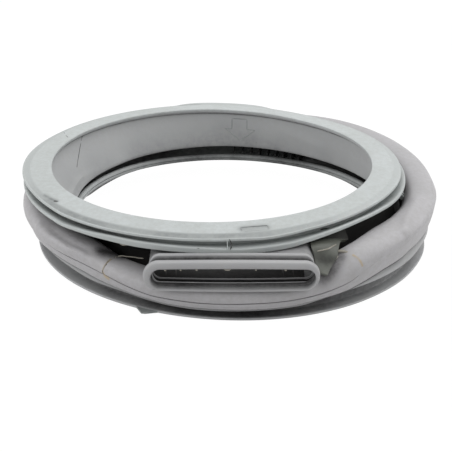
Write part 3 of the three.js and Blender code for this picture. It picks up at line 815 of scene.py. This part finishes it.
def make_seal_ring():
    points, finish = ring_grid()
    piece = make_mesh("seal_ring", *skin(list(points)))
    cut(piece, inlet_passage())
    cut(piece, pressed_flat())
    places = points.reshape(-1, 3)
    # Painted shading from the section, with the painted shadows and smudges laid over it.
    grime = finish[..., 0].ravel()
    for course, half_width, strength in SHADOWS_AND_SMUDGES:
        grime = np.maximum(grime, strength * np.exp(-(distances(places, course) / half_width) ** 2))
    paint(piece, places, grime=grime, tone=finish[..., 1].ravel())
    return piece


def make_inlet_duct():
    courses = inlet_courses()
    outlines = np.stack([inlet_outline(*course) for course in courses], 1)
    piece = make_mesh("inlet_duct", *skin(list(outlines)))
    cut(piece, opening_room())
    grime = np.array([duct_grime(course) for course in courses])
    grime = np.broadcast_to(grime, outlines.shape[:2]).ravel()
    paint(piece, outlines.reshape(-1, 3), grime=grime, tone=np.full(len(grime), 0.8))
    return piece


def smooth(course, steps=4):
    """Rounder course through the same points."""
    course = np.array(course, float)
    padded = np.concatenate([2 * course[:1] - course[1:2], course, 2 * course[-1:] - course[-2:-1]])
    found = []
    for a, b, c, d in zip(padded, padded[1:], padded[2:], padded[3:]):
        for t in np.arange(steps) / steps:
            found.append(0.5 * (
                2 * b + (c - a) * t + (2 * a - 5 * b + 4 * c - d) * t ** 2
                + (3 * b - a - 3 * c + d) * t ** 3))
    return np.array(found + [course[-1]])


def bar(course, radius, sides=8):
    """Round bar along a course, thinner at its ends."""
    course = np.array(course, float)
    count = len(course)
    rings = []
    for i, here in enumerate(course):
        along = course[min(i + 1, count - 1)] - course[max(i - 1, 0)]
        along /= np.linalg.norm(along)
        side = np.cross(along, (0.13, 0.31, 0.94))
        side /= np.linalg.norm(side)
        up = np.cross(side, along)
        thick = radius * (0.35 if i in (0, count - 1) else 1)
        turns = np.arange(sides) * 2 * math.pi / sides
        rings.append(here + thick * (np.outer(np.cos(turns), side) + np.outer(np.sin(turns), up)))
    return capped(rings)


def sheet(front, thickness):
    """Closed skin over a grid of front points, a thickness deep behind it."""
    front = np.array(front, float)
    rows, count = front.shape[:2]
    normals = np.cross(np.gradient(front, axis=0), np.gradient(front, axis=1))
    normals /= np.maximum(np.linalg.norm(normals, axis=2, keepdims=True), 1e-9)
    back = (front + normals * thickness)[:, ::-1]
    return capped([np.concatenate([front[r], back[r]]) for r in range(rows)])


def joined(parts):
    """One mesh from several."""
    points, faces, start = [], [], 0
    for part_points, part_faces in parts:
        points.append(part_points)
        faces += [tuple(start + i for i in face) for face in part_faces]
        start += len(part_points)
    return np.concatenate(points), faces


def fin(outline, thickness, azimuth):
    """Flat piece of an outline of (radius, height), stood on edge at an azimuth."""
    outwards, across = directions(azimuth)
    rings = [np.array([
        radius * outwards + (0, 0, height) + side * thickness / 2 * across
        for radius, height in outline]) for side in (-1, 1)]
    return capped(rings)


def stiffening_ribs():
    ribs = []
    for k in range(RIB_COUNT):
        azimuth = RIB_START + k * RIB_PITCH
        floor = lip_height(azimuth) + 2
        ribs.append(fin([
            (DRUM_LIP_RADIUS + RIB_INNER, DRUM_LIP_HEIGHT + 2),
            (DRUM_LIP_RADIUS + RIB_INNER + 1, floor + 4.5),
            (TUB_GROOVE_RADIUS - 2, floor + 5.5), (TUB_GROOVE_RADIUS, floor + RIB_HEIGHT),
            (TUB_GROOVE_RADIUS + RIB_TOP_DEPTH, floor + RIB_HEIGHT),
            (TUB_GROOVE_RADIUS + RIB_FOOT_DEPTH, floor)], RIB_THICKNESS, azimuth))
    return joined(ribs)


def web():
    """Two straps from under the clamp lip to the bellows' inner side."""
    neck_radius = FOLD_RADIUS + NECK_WALL
    low = RECESS_FLOOR + WEB_DROP
    outline = [
        (neck_radius - 6, CLAMP_LIP_TOP - 5), (neck_radius + 2, CLAMP_LIP_TOP - 5.5),
        (mix(neck_radius, TUBE_RADIUS, 0.7), low + 8), (TUBE_RADIUS + 6, low + 1),
        (TUBE_RADIUS + 6, low - WEB_THICKNESS),
        (mix(neck_radius, TUBE_RADIUS, 0.6), low + 8 - WEB_THICKNESS * 1.6),
        (neck_radius - 6, CLAMP_LIP_TOP - 5 - WEB_THICKNESS * 2)]
    lean = math.degrees(WEB_WIDTH / 3 / neck_radius)
    return joined([fin(outline, WEB_WIDTH / 3.2, WEB_AZIMUTH + side * lean) for side in (-1, 1)])


def locating_tab():
    """Pointed tab on the rim of the tub ring."""
    root, along = TUB_RADIUS - 5, TAB_WIDTH / 2
    plan = [
        (root, -along), (root + 3, -along), (TUB_RADIUS + TAB_REACH, -2),
        (TUB_RADIUS + TAB_REACH - 1, 1.5), (root + 3, along), (root, along)]
    outwards, across = directions(TAB_AZIMUTH)
    rings = [np.array([
        out * outwards + side * across + (0, 0, z) for out, side in plan]) for z in (0, 1.3, 1.8)]
    return capped(rings)


def arrow():
    """Plain arrow moulded on the inside of the neck, pointing down."""
    outline = [
        (-10, 54), (-2.8, 54.3), (-2.8, 65), (13.5, 65), (13.5, 54.3), (22.6, 54), (6.6, 41.6),
        (-10, 54)]
    lines = []
    for (x, z), (next_x, next_z) in zip(outline, outline[1:]):
        course = [on_wall(mix(x, next_x, k / 6), mix(z, next_z, k / 6)) for k in range(7)]
        lines.append(bar(course, 0.5, 6))
    return joined(lines)


def shoulder():
    """Torn pad and hollow sheet that join the inlet's right side to the neck."""
    rows = [
        [(64, -146, 66), (76, -142, 66), (88, -136, 65), (95, -131, 63)],
        [(65, -151, 58), (78, -147, 58), (91, -141, 56), (99, -136, 53)],
        [(66, -157, 59), (75, -154, 59), (84, -150, 58), (92, -146, 55)],
        [(66, -166, 58.5), (73, -165, 58.5), (81, -162, 57), (89, -156, 53)],
        [(67, -172, 55.5), (72, -170, 54), (79, -168, 51.5), (88, -163, 49)],
        [(68, -178, 50), (73, -176, 48), (78, -174, 46), (84, -171, 45)],
        [(70, -184, 44), (73, -184, 43), (76, -184.5, 42), (79, -184, 41)]]
    across = np.stack([smooth(row, 5) for row in rows])
    grid = np.stack([smooth(across[:, k], 5) for k in range(across.shape[1])], 1)
    return sheet(grid, 2.2), grid


def shoulder_grime(grid):
    """Painted shade on the sheet behind the pad and in the hollow of the one before it."""
    down = np.linspace(0, 6, grid.shape[0])[:, None]
    behind = np.clip(1.9 - down, 0, 1) * 0.9
    hollow = 0.55 * np.exp(-((down - 4.4) / 0.9) ** 2)
    grime = np.maximum(behind, hollow) + 0 * grid[..., 0]
    return grime.ravel()


def flash():
    """Thin flash and crumbs of rubber that the mould left along seams and edges."""
    seams = (
        (0.5, [(-99, -155.5, 41.6), (-95, -155.8, 42.2), (-91.5, -156, 41.8), (-86, -157.6, 42.2),
               (-81, -158.4, 41.8), (-76.5, -159.6, 42)]),
        (0.6, [(70.5, -170.5, 57.5), (77, -168, 58), (81, -166, 58.3), (85, -160, 58),
               (88.5, -154, 57)]),
        (0.6, [(90, -162, 50), (86, -168, 47.5), (82, -175, 44.5), (78.5, -184, 41.5)]),
        (1.3, [(89, -158, 52.2), (92, -159, 53.2), (95, -158.5, 52.6), (99, -159, 51.2)]),
        (0.5, [(102, -161.5, 51.6), (105.4, -163.6, 50.6), (108.6, -166, 48),
               (110, -167.3, 44.5)]),
        (0.45, [(-105, -160.6, 41.6), (-107.8, -164.2, 39.6), (-109.8, -166.6, 36.5),
                (-111, -167.3, 33)]),
    )
    pieces = [bar(smooth(course), radius) for radius, course in seams]
    for k in range(9):
        spot = np.array([
            -106.5 + 1.1 * k + 0.8 * math.sin(5 * k), -161.5 + 0.9 * k, 41.3 - 0.25 * abs(k - 5)])
        reach = 0.9 + 0.5 * math.sin(3 * k + 1)
        pieces.append(bar([spot, spot + (0.4, -0.5, 0.5 * reach), spot + (reach, -0.3, 0.2)], 0.55, 6))
    hang = [63.6, 60.8, 60.2, 60.9, 62.2, 61.8, 62.6, 64.2]
    edge = [on_door(183, 65.6, 245.4 + 0.75 * k) for k in range(len(hang))]
    foot = [on_door(183.4, height, 245.4 + 0.75 * k) for k, height in enumerate(hang)]
    pieces.append(sheet([foot, edge], 1))
    return joined(pieces)


def inlet_nibs():
    """Nibs of flash along the top of the inlet's opening."""
    nibs = []
    for x, width in ((-55.7, 1.4), (-29.8, 1.6), (-4.5, 5.5), (43.4, 1.6), (19, 0.9), (-43, 0.9)):
        bow = 1 - (x / INLET_HALF_WIDTH) ** 2
        top = (INLET_HEIGHT + INLET_HALF_HEIGHT - INLET_RIM + INLET_ARCH * bow
               + INLET_TILT * x - OPENING_DROP)
        front = 1.2 - INLET_FACE
        nibs.append(bar([
            (x - width / 2, front, top), (x - width / 4, front, top - 0.5),
            (x + width / 4, front, top - 0.6), (x + width / 2, front, top)], 0.75, 6))
    return joined(nibs)


def lip_joint():
    """Joint line that bridges rim and clamp lip at the front."""
    return bar([
        on_door(RIM_RADIUS - 0.6, RIM_HEIGHT - 1, 275.2), on_door(RIM_RADIUS + 0.4, 68, 275.2),
        on_door(CLAMP_LIP_RADIUS - 0.4, 65, 275.2), on_door(CLAMP_LIP_RADIUS, 63.4, 275.2)], 0.5, 6)


def lip_slit_shade():
    """Painted shade: a dark bar that stands for the shade in the open slit beside the joint line."""
    return bar([
        on_door(RIM_RADIUS + 0.6, 72.2, 275.7), on_door(RIM_RADIUS + 1, 69.5, 276.1),
        on_door(RIM_RADIUS + 2, 67.6, 276.3), on_door(CLAMP_LIP_RADIUS - 0.4, 66.2, 276.1),
        on_door(CLAMP_LIP_RADIUS + 0.2, 64.6, 275.8)], 0.6, 6)


seal_ring = make_seal_ring()
inlet_duct = make_inlet_duct()
shoulder_mesh, shoulder_grid = shoulder()
shoulder_pad = make_mesh("shoulder_pad", *shoulder_mesh, sharp=60)
paint(shoulder_pad, shoulder_grid.reshape(-1, 3), grime=shoulder_grime(shoulder_grid))

# Finishes


def srgb(red, green, blue):
    """Colour as seen, 0 to 255, for a shader."""
    return tuple(((c / 255 + 0.055) / 1.055) ** 2.4 for c in (red, green, blue)) + (1,)


def node(tree, kind, **inputs):
    made = tree.nodes.new(kind)
    for name, value in inputs.items():
        made.inputs[name.replace("_", " ")].default_value = value
    return made


def spread(tree, value, low_in, high_in, low_out, high_out):
    """Smooth step of a value from one range to another."""
    made = tree.nodes.new("ShaderNodeMapRange")
    made.interpolation_type = "SMOOTHSTEP"
    ends = {"From Min": low_in, "From Max": high_in, "To Min": low_out, "To Max": high_out}
    for name, size in ends.items():
        made.inputs[name].default_value = size
    tree.links.new(value, made.inputs["Value"])
    return made.outputs["Result"]


def math_node(tree, operation, *values, clamp=False):
    """Result of a sum on values, each a number or a socket."""
    made = tree.nodes.new("ShaderNodeMath")
    made.operation = operation
    made.use_clamp = clamp
    for socket, value in zip(made.inputs, values):
        if isinstance(value, (int, float)):
            socket.default_value = value
        else:
            tree.links.new(value, socket)
    return made.outputs[0]


def blend_colours(tree, share, low, high, blend="MIX"):
    """Colour mixed from low to high, each a colour or a socket."""
    made = tree.nodes.new("ShaderNodeMix")
    made.data_type, made.blend_type = "RGBA", blend
    for name, value in (("Factor_Float", share), ("A_Color", low), ("B_Color", high)):
        socket = next(entry for entry in made.inputs if entry.identifier == name)
        if isinstance(value, (int, float, tuple)):
            socket.default_value = value
        else:
            tree.links.new(value, socket)
    return next(entry for entry in made.outputs if entry.identifier == "Result_Color")


def noise(tree, place_socket, scale, detail, roughness=0.55):
    made = node(tree, "ShaderNodeTexNoise", Scale=scale, Detail=detail, Roughness=roughness)
    tree.links.new(place_socket, made.inputs["Vector"])
    return made.outputs["Fac"]


def new_group(name, inputs, outputs):
    tree = bpy.data.node_groups.new(name, "ShaderNodeTree")
    for sockets, side in ((inputs, "INPUT"), (outputs, "OUTPUT")):
        for socket, kind in sockets:
            tree.interface.new_socket(socket, in_out=side, socket_type="NodeSocket" + kind)
    return tree, tree.nodes.new("NodeGroupInput").outputs, tree.nodes.new("NodeGroupOutput").inputs


def mottle_group():
    """Broad cloudiness, fine mottling and scattered specks of old rubber."""
    tree, given, out = new_group(
        "mottle", [("Place", "Vector")], [("Broad", "Float"), ("Fine", "Float"), ("Specks", "Float")])
    tree.links.new(spread(tree, noise(tree, given["Place"], 22, 3), 0.3, 0.7, 0, 1), out["Broad"])
    tree.links.new(spread(tree, noise(tree, given["Place"], 210, 4, 0.7), 0.3, 0.7, 0, 1), out["Fine"])
    specks = spread(tree, noise(tree, given["Place"], 620, 2), 0.68, 0.76, 0, 1)
    sparse = spread(tree, noise(tree, given["Place"], 45, 2), 0.5, 0.66, 0, 1)
    tree.links.new(math_node(tree, "MULTIPLY", specks, sparse), out["Specks"])
    return tree


def shade_paint_group():
    """Painted shade over a clean colour; where the painted shading is under 0, the rubber gets a pale
    painted highlight.
    """
    tree, given, out = new_group(
        "shade_paint",
        [("Clean", "Color"), ("Grime", "Float"), ("Broad", "Float"), ("Fine", "Float"),
         ("Dirt Colour", "Color"), ("Rubbed Colour", "Color")],
        [("Color", "Color"), ("Roughness", "Float")])
    patchy = math_node(tree, "MULTIPLY_ADD", given["Broad"], 0.22, -0.11)
    grainy = math_node(tree, "MULTIPLY_ADD", given["Fine"], 0.16, -0.08)
    uneven = math_node(tree, "ADD", patchy, grainy)
    clean_left = math_node(tree, "SUBTRACT", 1, given["Grime"])
    partly = math_node(tree, "MULTIPLY", given["Grime"], clean_left, clamp=True)
    local_shade = math_node(tree, "MULTIPLY", partly, uneven)
    share = math_node(tree, "MULTIPLY_ADD", local_shade, 5, given["Grime"], clamp=True)
    highlit = math_node(tree, "MULTIPLY", given["Grime"], -2, clamp=True)
    pale = blend_colours(tree, highlit, given["Clean"], given["Rubbed Colour"])
    tree.links.new(blend_colours(tree, share, pale, given["Dirt Colour"]), out["Color"])
    tree.links.new(spread(tree, share, 0, 1, 0.46, 0.85), out["Roughness"])
    return tree


def line_group():
    """Mask of a straight stretch between two places, with a soft edge."""
    tree, given, out = new_group(
        "line_mark",
        [("Place", "Vector"), ("Start", "Vector"), ("End", "Vector"), ("Half Width", "Float")],
        [("Mask", "Float")])

    def vector_node(operation, *sockets):
        made = tree.nodes.new("ShaderNodeVectorMath")
        made.operation = operation
        for k, socket in enumerate(sockets):
            tree.links.new(socket, made.inputs[k])
        return made

    along = vector_node("SUBTRACT", given["End"], given["Start"]).outputs[0]
    away = vector_node("SUBTRACT", given["Place"], given["Start"]).outputs[0]
    reach = vector_node("DOT_PRODUCT", away, along).outputs["Value"]
    length = vector_node("DOT_PRODUCT", along, along).outputs["Value"]
    share = math_node(tree, "DIVIDE", reach, length, clamp=True)
    nearest = vector_node("SCALE", along)
    tree.links.new(share, nearest.inputs["Scale"])
    apart = vector_node("SUBTRACT", away, nearest.outputs[0]).outputs[0]
    distance = vector_node("LENGTH", apart).outputs["Value"]
    mask = math_node(tree, "DIVIDE", distance, given["Half Width"])
    tree.links.new(spread(tree, mask, 0.55, 1.3, 1, 0), out["Mask"])
    return tree


MOTTLE = mottle_group()
SHADE_PAINT = shade_paint_group()
LINE_MARK = line_group()


def place_group(tree, group, **inputs):
    made = tree.nodes.new("ShaderNodeGroup")
    made.node_tree = group
    for name, value in inputs.items():
        socket = made.inputs[name.replace("_", " ")]
        if isinstance(value, bpy.types.NodeSocket):
            tree.links.new(value, socket)
        else:
            socket.default_value = value
    return made.outputs


def marks(tree, position, courses):
    """One mask for several courses of straight stretches, each with its own half width."""
    mask = None
    for half_width, course in courses:
        spots = in_frame(course)
        for start, end in zip(spots, spots[1:]):
            stretch = place_group(
                tree, LINE_MARK, Place=position, Start=tuple(start), End=tuple(end),
                Half_Width=half_width * MM)["Mask"]
            mask = stretch if mask is None else math_node(tree, "MAXIMUM", mask, stretch)
    return mask


CLEAN_GREY = srgb(190, 196, 196)
VIOLET_GREY = srgb(181, 180, 183)
# Colours of the painted shade in hollows and of the pale painted highlight along edges
DEEP_SHADE = srgb(24, 22, 21)
PAINTED_HIGHLIGHT = srgb(214, 217, 214)
CRACK = srgb(40, 38, 36)
FLASH_LINE = srgb(176, 160, 132)
SPECK = srgb(84, 80, 74)


def new_material(name):
    material = bpy.data.materials.new(name)
    material.use_nodes = True
    return material, material.node_tree, material.node_tree.nodes["Principled BSDF"]


def rubber(name, clean=CLEAN_GREY, grime=0.0, dark_marks=(), pale_marks=()):
    """Old grey rubber; painted shading and tone are painted on the piece, and a further amount of
    painted shade can be added all over.
    """
    material, tree, shader = new_material(name)
    position = tree.nodes.new("ShaderNodeTexCoord").outputs["Object"]
    painted = {}
    for layer in ("grime", "tone"):
        attribute = tree.nodes.new("ShaderNodeAttribute")
        attribute.attribute_name = layer
        painted[layer] = attribute.outputs["Fac"]
    mottle = place_group(tree, MOTTLE, Place=position)
    clean = blend_colours(tree, painted["tone"], clean, VIOLET_GREY)
    for layer, dim in (("Broad", srgb(246, 246, 245)), ("Fine", srgb(243, 242, 240))):
        uneven = blend_colours(tree, mottle[layer], dim, srgb(255, 255, 255))
        clean = blend_colours(tree, 1.0, clean, uneven, "MULTIPLY")
    shade_paint = place_group(
        tree, SHADE_PAINT, Clean=clean, Grime=math_node(tree, "ADD", painted["grime"], grime),
        Broad=mottle["Broad"], Fine=mottle["Fine"], Dirt_Colour=DEEP_SHADE, Rubbed_Colour=PAINTED_HIGHLIGHT)
    speck_share = math_node(tree, "MULTIPLY", mottle["Specks"], 0.45)
    colour = blend_colours(tree, speck_share, shade_paint["Color"], SPECK)
    height = math_node(tree, "MULTIPLY", mottle["Fine"], 0.5)
    for courses, share, mark_colour, change in (
            (pale_marks, 0.8, FLASH_LINE, "ADD"), (dark_marks, 0.85, CRACK, "SUBTRACT")):
        if courses:
            mask = marks(tree, position, courses)
            shown = math_node(tree, "MULTIPLY", mask, share)
            colour = blend_colours(tree, shown, colour, mark_colour)
            height = math_node(tree, change, height, mask)
    tree.links.new(colour, shader.inputs["Base Color"])
    tree.links.new(shade_paint["Roughness"], shader.inputs["Roughness"])
    grain = noise(tree, position, 1500, 2)
    bump = node(tree, "ShaderNodeBump", Strength=0.35, Distance=0.0004)
    tree.links.new(math_node(tree, "MULTIPLY_ADD", grain, 0.35, height), bump.inputs["Height"])
    tree.links.new(bump.outputs["Normal"], shader.inputs["Normal"])
    shader.inputs["Specular IOR Level"].default_value = 0.42
    return material


# Cracks, slits and dark specks: half width, course
CRACKS = (
    (0.45, ((-157, 81.4, 67.5), (-158, 71.7, 61), (-158.5, 59.5, 54.6), (-158.4, 42.7, 47.8))),
    (0.8, ((-157, 84, 69), (-157.4, 77, 64.5))),
    (1.2, ((-159.2, -105.6, 70.7), (-157.4, -106.6, 70.8))),
    (0.4, (on_face(179, 151), on_face(171.5, 153.4))),
    (0.4, (on_face(165.5, 155.6), on_face(160.5, 157.2))),
    (0.8, (on_door(186.3, 66.4, 267.4), on_door(186.3, 66.2, 267.8))),
    (1, ((-157, 26, 23.2), (-156.6, 27, 23.6))),
    (1, ((-151, 46, 24.2), (-150.7, 47, 24.4))),
    (0.8, ((-142.5, 61.5, 26), (-142, 62.4, 26.2))),
    (0.6, ((-107.8, -165.4, 38), (-110, -166.8, 35.5), (-111.2, -167, 32.5), (-110.6, -167.6, 30.5))),
    (0.5, ((103.8, -162.5, 51), (106.7, -163.5, 50), (109, -165.6, 48), (110.6, -166.6, 44.6))),
    (0.45, ((101.5, -163.7, 50.5), (105, -165.3, 49), (107.6, -167, 47), (109.6, -167.5, 43.2))),
)
# Raised lines that the mould left: half width, course
FLASH_LINES = (
    (1, ((-105, -161, 41), (-107.6, -164, 39), (-109.6, -166, 36.5), (-110.9, -167, 33.3))),
    (1.6, ((-110.6, -167.4, 31), (-109, -167.4, 28), (-105.8, -169, 26.7))),
    (1.4, ((102.6, -163, 51), (105.8, -164.4, 49.4), (108.4, -166.4, 47.2), (110, -167, 44))),
)

duct_rubber = rubber("duct_rubber")
flash_rubber = rubber("flash_rubber", clean=srgb(158, 154, 144))
# Painted shade over whole pieces: nearly black for the ribs in the hollow and the slit, darker for the
# tab low on the flange, the arrow on the far wall and the web in the gap.
shaded_rubber = rubber("shaded_rubber", grime=0.93)
small_pieces = (
    ("gap_web", web(), SHARP_EDGE, rubber("web_rubber", grime=0.2)),
    ("locating_tab", locating_tab(), SHARP_EDGE, rubber("tab_rubber", grime=0.5)),
    ("stiffening_ribs", stiffening_ribs(), SHARP_EDGE, shaded_rubber),
    ("moulded_arrow", arrow(), FINE_EDGE, rubber("arrow_rubber", grime=0.32)),
    ("mould_flash", flash(), FINE_EDGE, flash_rubber),
    ("inlet_nibs", inlet_nibs(), FINE_EDGE, flash_rubber),
    ("lip_joint", lip_joint(), FINE_EDGE, duct_rubber),
    ("lip_slit_shade", lip_slit_shade(), FINE_EDGE, shaded_rubber),
)
finished = [
    (seal_ring, rubber("ring_rubber", dark_marks=CRACKS, pale_marks=FLASH_LINES)),
    (inlet_duct, duct_rubber),
    # The shoulder's dark grey-green colour is painted shade.
    (shoulder_pad, rubber("shoulder_rubber", clean=srgb(98, 101, 94))),
]
for name, shape, sharp, material in small_pieces:
    finished.append((make_mesh(name, *shape, sharp), material))
for piece, material in finished:
    piece.data.materials.append(material)
    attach(piece, "root")
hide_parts("door_seal")

# Studio, in metres; a lamp is its name, place, aim, size and watts
TENT_STRENGTH = 0.86
FLOOR_SIZE = 6
FLOOR_GLOW = 1.06
FLOOR_WHITE = 0.93
LAMPS = (
    ("top_lamp", (0.35, 0.7, 1.25), (0, 0.05, 0), (1.4, 1), 5.5),
    ("left_lamp", (-1.05, -0.4, 0.6), (-0.15, -0.1, 0.03), (0.6, 0.6), 2.6),
    ("right_lamp", (1.1, 0, 0.6), (0.15, -0.05, 0.04), (0.6, 0.6), 2.6),
)
CAMERA_PLACE = (-0.00252, -1.09974, 0.48)
CAMERA_DOWN = 23.346
CAMERA_ROLL = 1.3846
CAMERA_LENS = 96.2


def plainly_seen(tree):
    """1 for rays that see the white ground or background itself, straight or in a gloss."""
    path = tree.nodes.new("ShaderNodeLightPath")
    seen = path.outputs["Is Camera Ray"]
    for kind in ("Is Glossy Ray", "Is Transmission Ray"):
        seen = math_node(tree, "MAXIMUM", seen, path.outputs[kind])
    return seen


def join_shaders(tree, share, hidden, seen):
    """Shader that is one thing where rays see it plainly, and another elsewhere."""
    blend = tree.nodes.new("ShaderNodeMixShader")
    for socket, value in zip(blend.inputs, (share, hidden.outputs[0], seen.outputs[0])):
        tree.links.new(value, socket)
    return blend.outputs[0]


def white_floor():
    mesh = bpy.data.meshes.new("studio_floor")
    signs = ((-1, -1), (1, -1), (1, 1), (-1, 1))
    mesh.from_pydata([(x * FLOOR_SIZE, y * FLOOR_SIZE, 0) for x, y in signs], [], [(0, 1, 2, 3)])
    floor = add_object("studio_floor", mesh)
    material, tree, shader = new_material("white_floor")
    shader.inputs["Base Color"].default_value = srgb(200, 200, 200)
    shader.inputs["Roughness"].default_value = 0.8
    glow = node(tree, "ShaderNodeEmission", Color=(1, 1, 1, 1), Strength=FLOOR_GLOW)
    seen = math_node(tree, "MULTIPLY", plainly_seen(tree), FLOOR_WHITE)
    surface = join_shaders(tree, seen, shader, glow)
    tree.links.new(surface, tree.nodes["Material Output"].inputs["Surface"])
    mesh.materials.append(material)


def studio_world():
    """Light tent: bright above, dimmer low down and on the right, plain white where seen."""
    world = bpy.data.worlds.new("studio")
    world.use_nodes = True
    tree = world.node_tree
    tree.nodes.clear()
    axes = tree.nodes.new("ShaderNodeSeparateXYZ")
    tree.links.new(tree.nodes.new("ShaderNodeTexCoord").outputs["Generated"], axes.inputs[0])
    strength = TENT_STRENGTH
    for axis, low_in, high_in, low_out, high_out in (
            ("Z", 0, 0.6, 0.62, 1), ("Y", -0.9, 0.1, 1, 0.96), ("X", -0.8, 0.8, 1.12, 0.9)):
        share = spread(tree, axes.outputs[axis], low_in, high_in, low_out, high_out)
        strength = math_node(tree, "MULTIPLY", strength, share)
    tent = node(tree, "ShaderNodeBackground", Color=(1, 1, 1, 1))
    tree.links.new(strength, tent.inputs["Strength"])
    white = node(tree, "ShaderNodeBackground", Color=(1, 1, 1, 1), Strength=1.0)
    output = tree.nodes.new("ShaderNodeOutputWorld")
    surface = join_shaders(tree, plainly_seen(tree), tent, white)
    tree.links.new(surface, output.inputs["Surface"])
    bpy.context.scene.world = world


def soft_lamp(name, place_at, aim, size, watts):
    light = bpy.data.lights.new(name, "AREA")
    light.shape = "RECTANGLE"
    light.size, light.size_y = size
    light.energy = watts
    lamp = add_object(name, light)
    lamp.location = place_at
    lamp.rotation_mode = "QUATERNION"
    lamp.rotation_quaternion = (Vector(aim) - Vector(place_at)).to_track_quat("-Z", "Y")


def studio_camera():
    """Camera fitted to the photograph: straight from the front, a little above, slightly rolled."""
    down, roll = math.radians(CAMERA_DOWN), math.radians(CAMERA_ROLL)
    ahead = Vector((0, math.cos(down), -math.sin(down)))
    upright = Vector((0, math.sin(down), math.cos(down)))
    side = Vector((1, 0, 0))
    right = side * math.cos(roll) + upright * math.sin(roll)
    up = upright * math.cos(roll) - side * math.sin(roll)
    data = bpy.data.cameras.new("studio_camera")
    data.sensor_width = 36
    data.lens = CAMERA_LENS
    camera = add_object("studio_camera", data)
    turn = Matrix((right, up, -ahead)).transposed().to_4x4()
    camera.matrix_world = Matrix.Translation(CAMERA_PLACE) @ turn
    bpy.context.scene.camera = camera


bpy.context.scene.view_settings.view_transform = "Standard"
white_floor()
studio_world()
for lamp in LAMPS:
    soft_lamp(*lamp)
studio_camera()
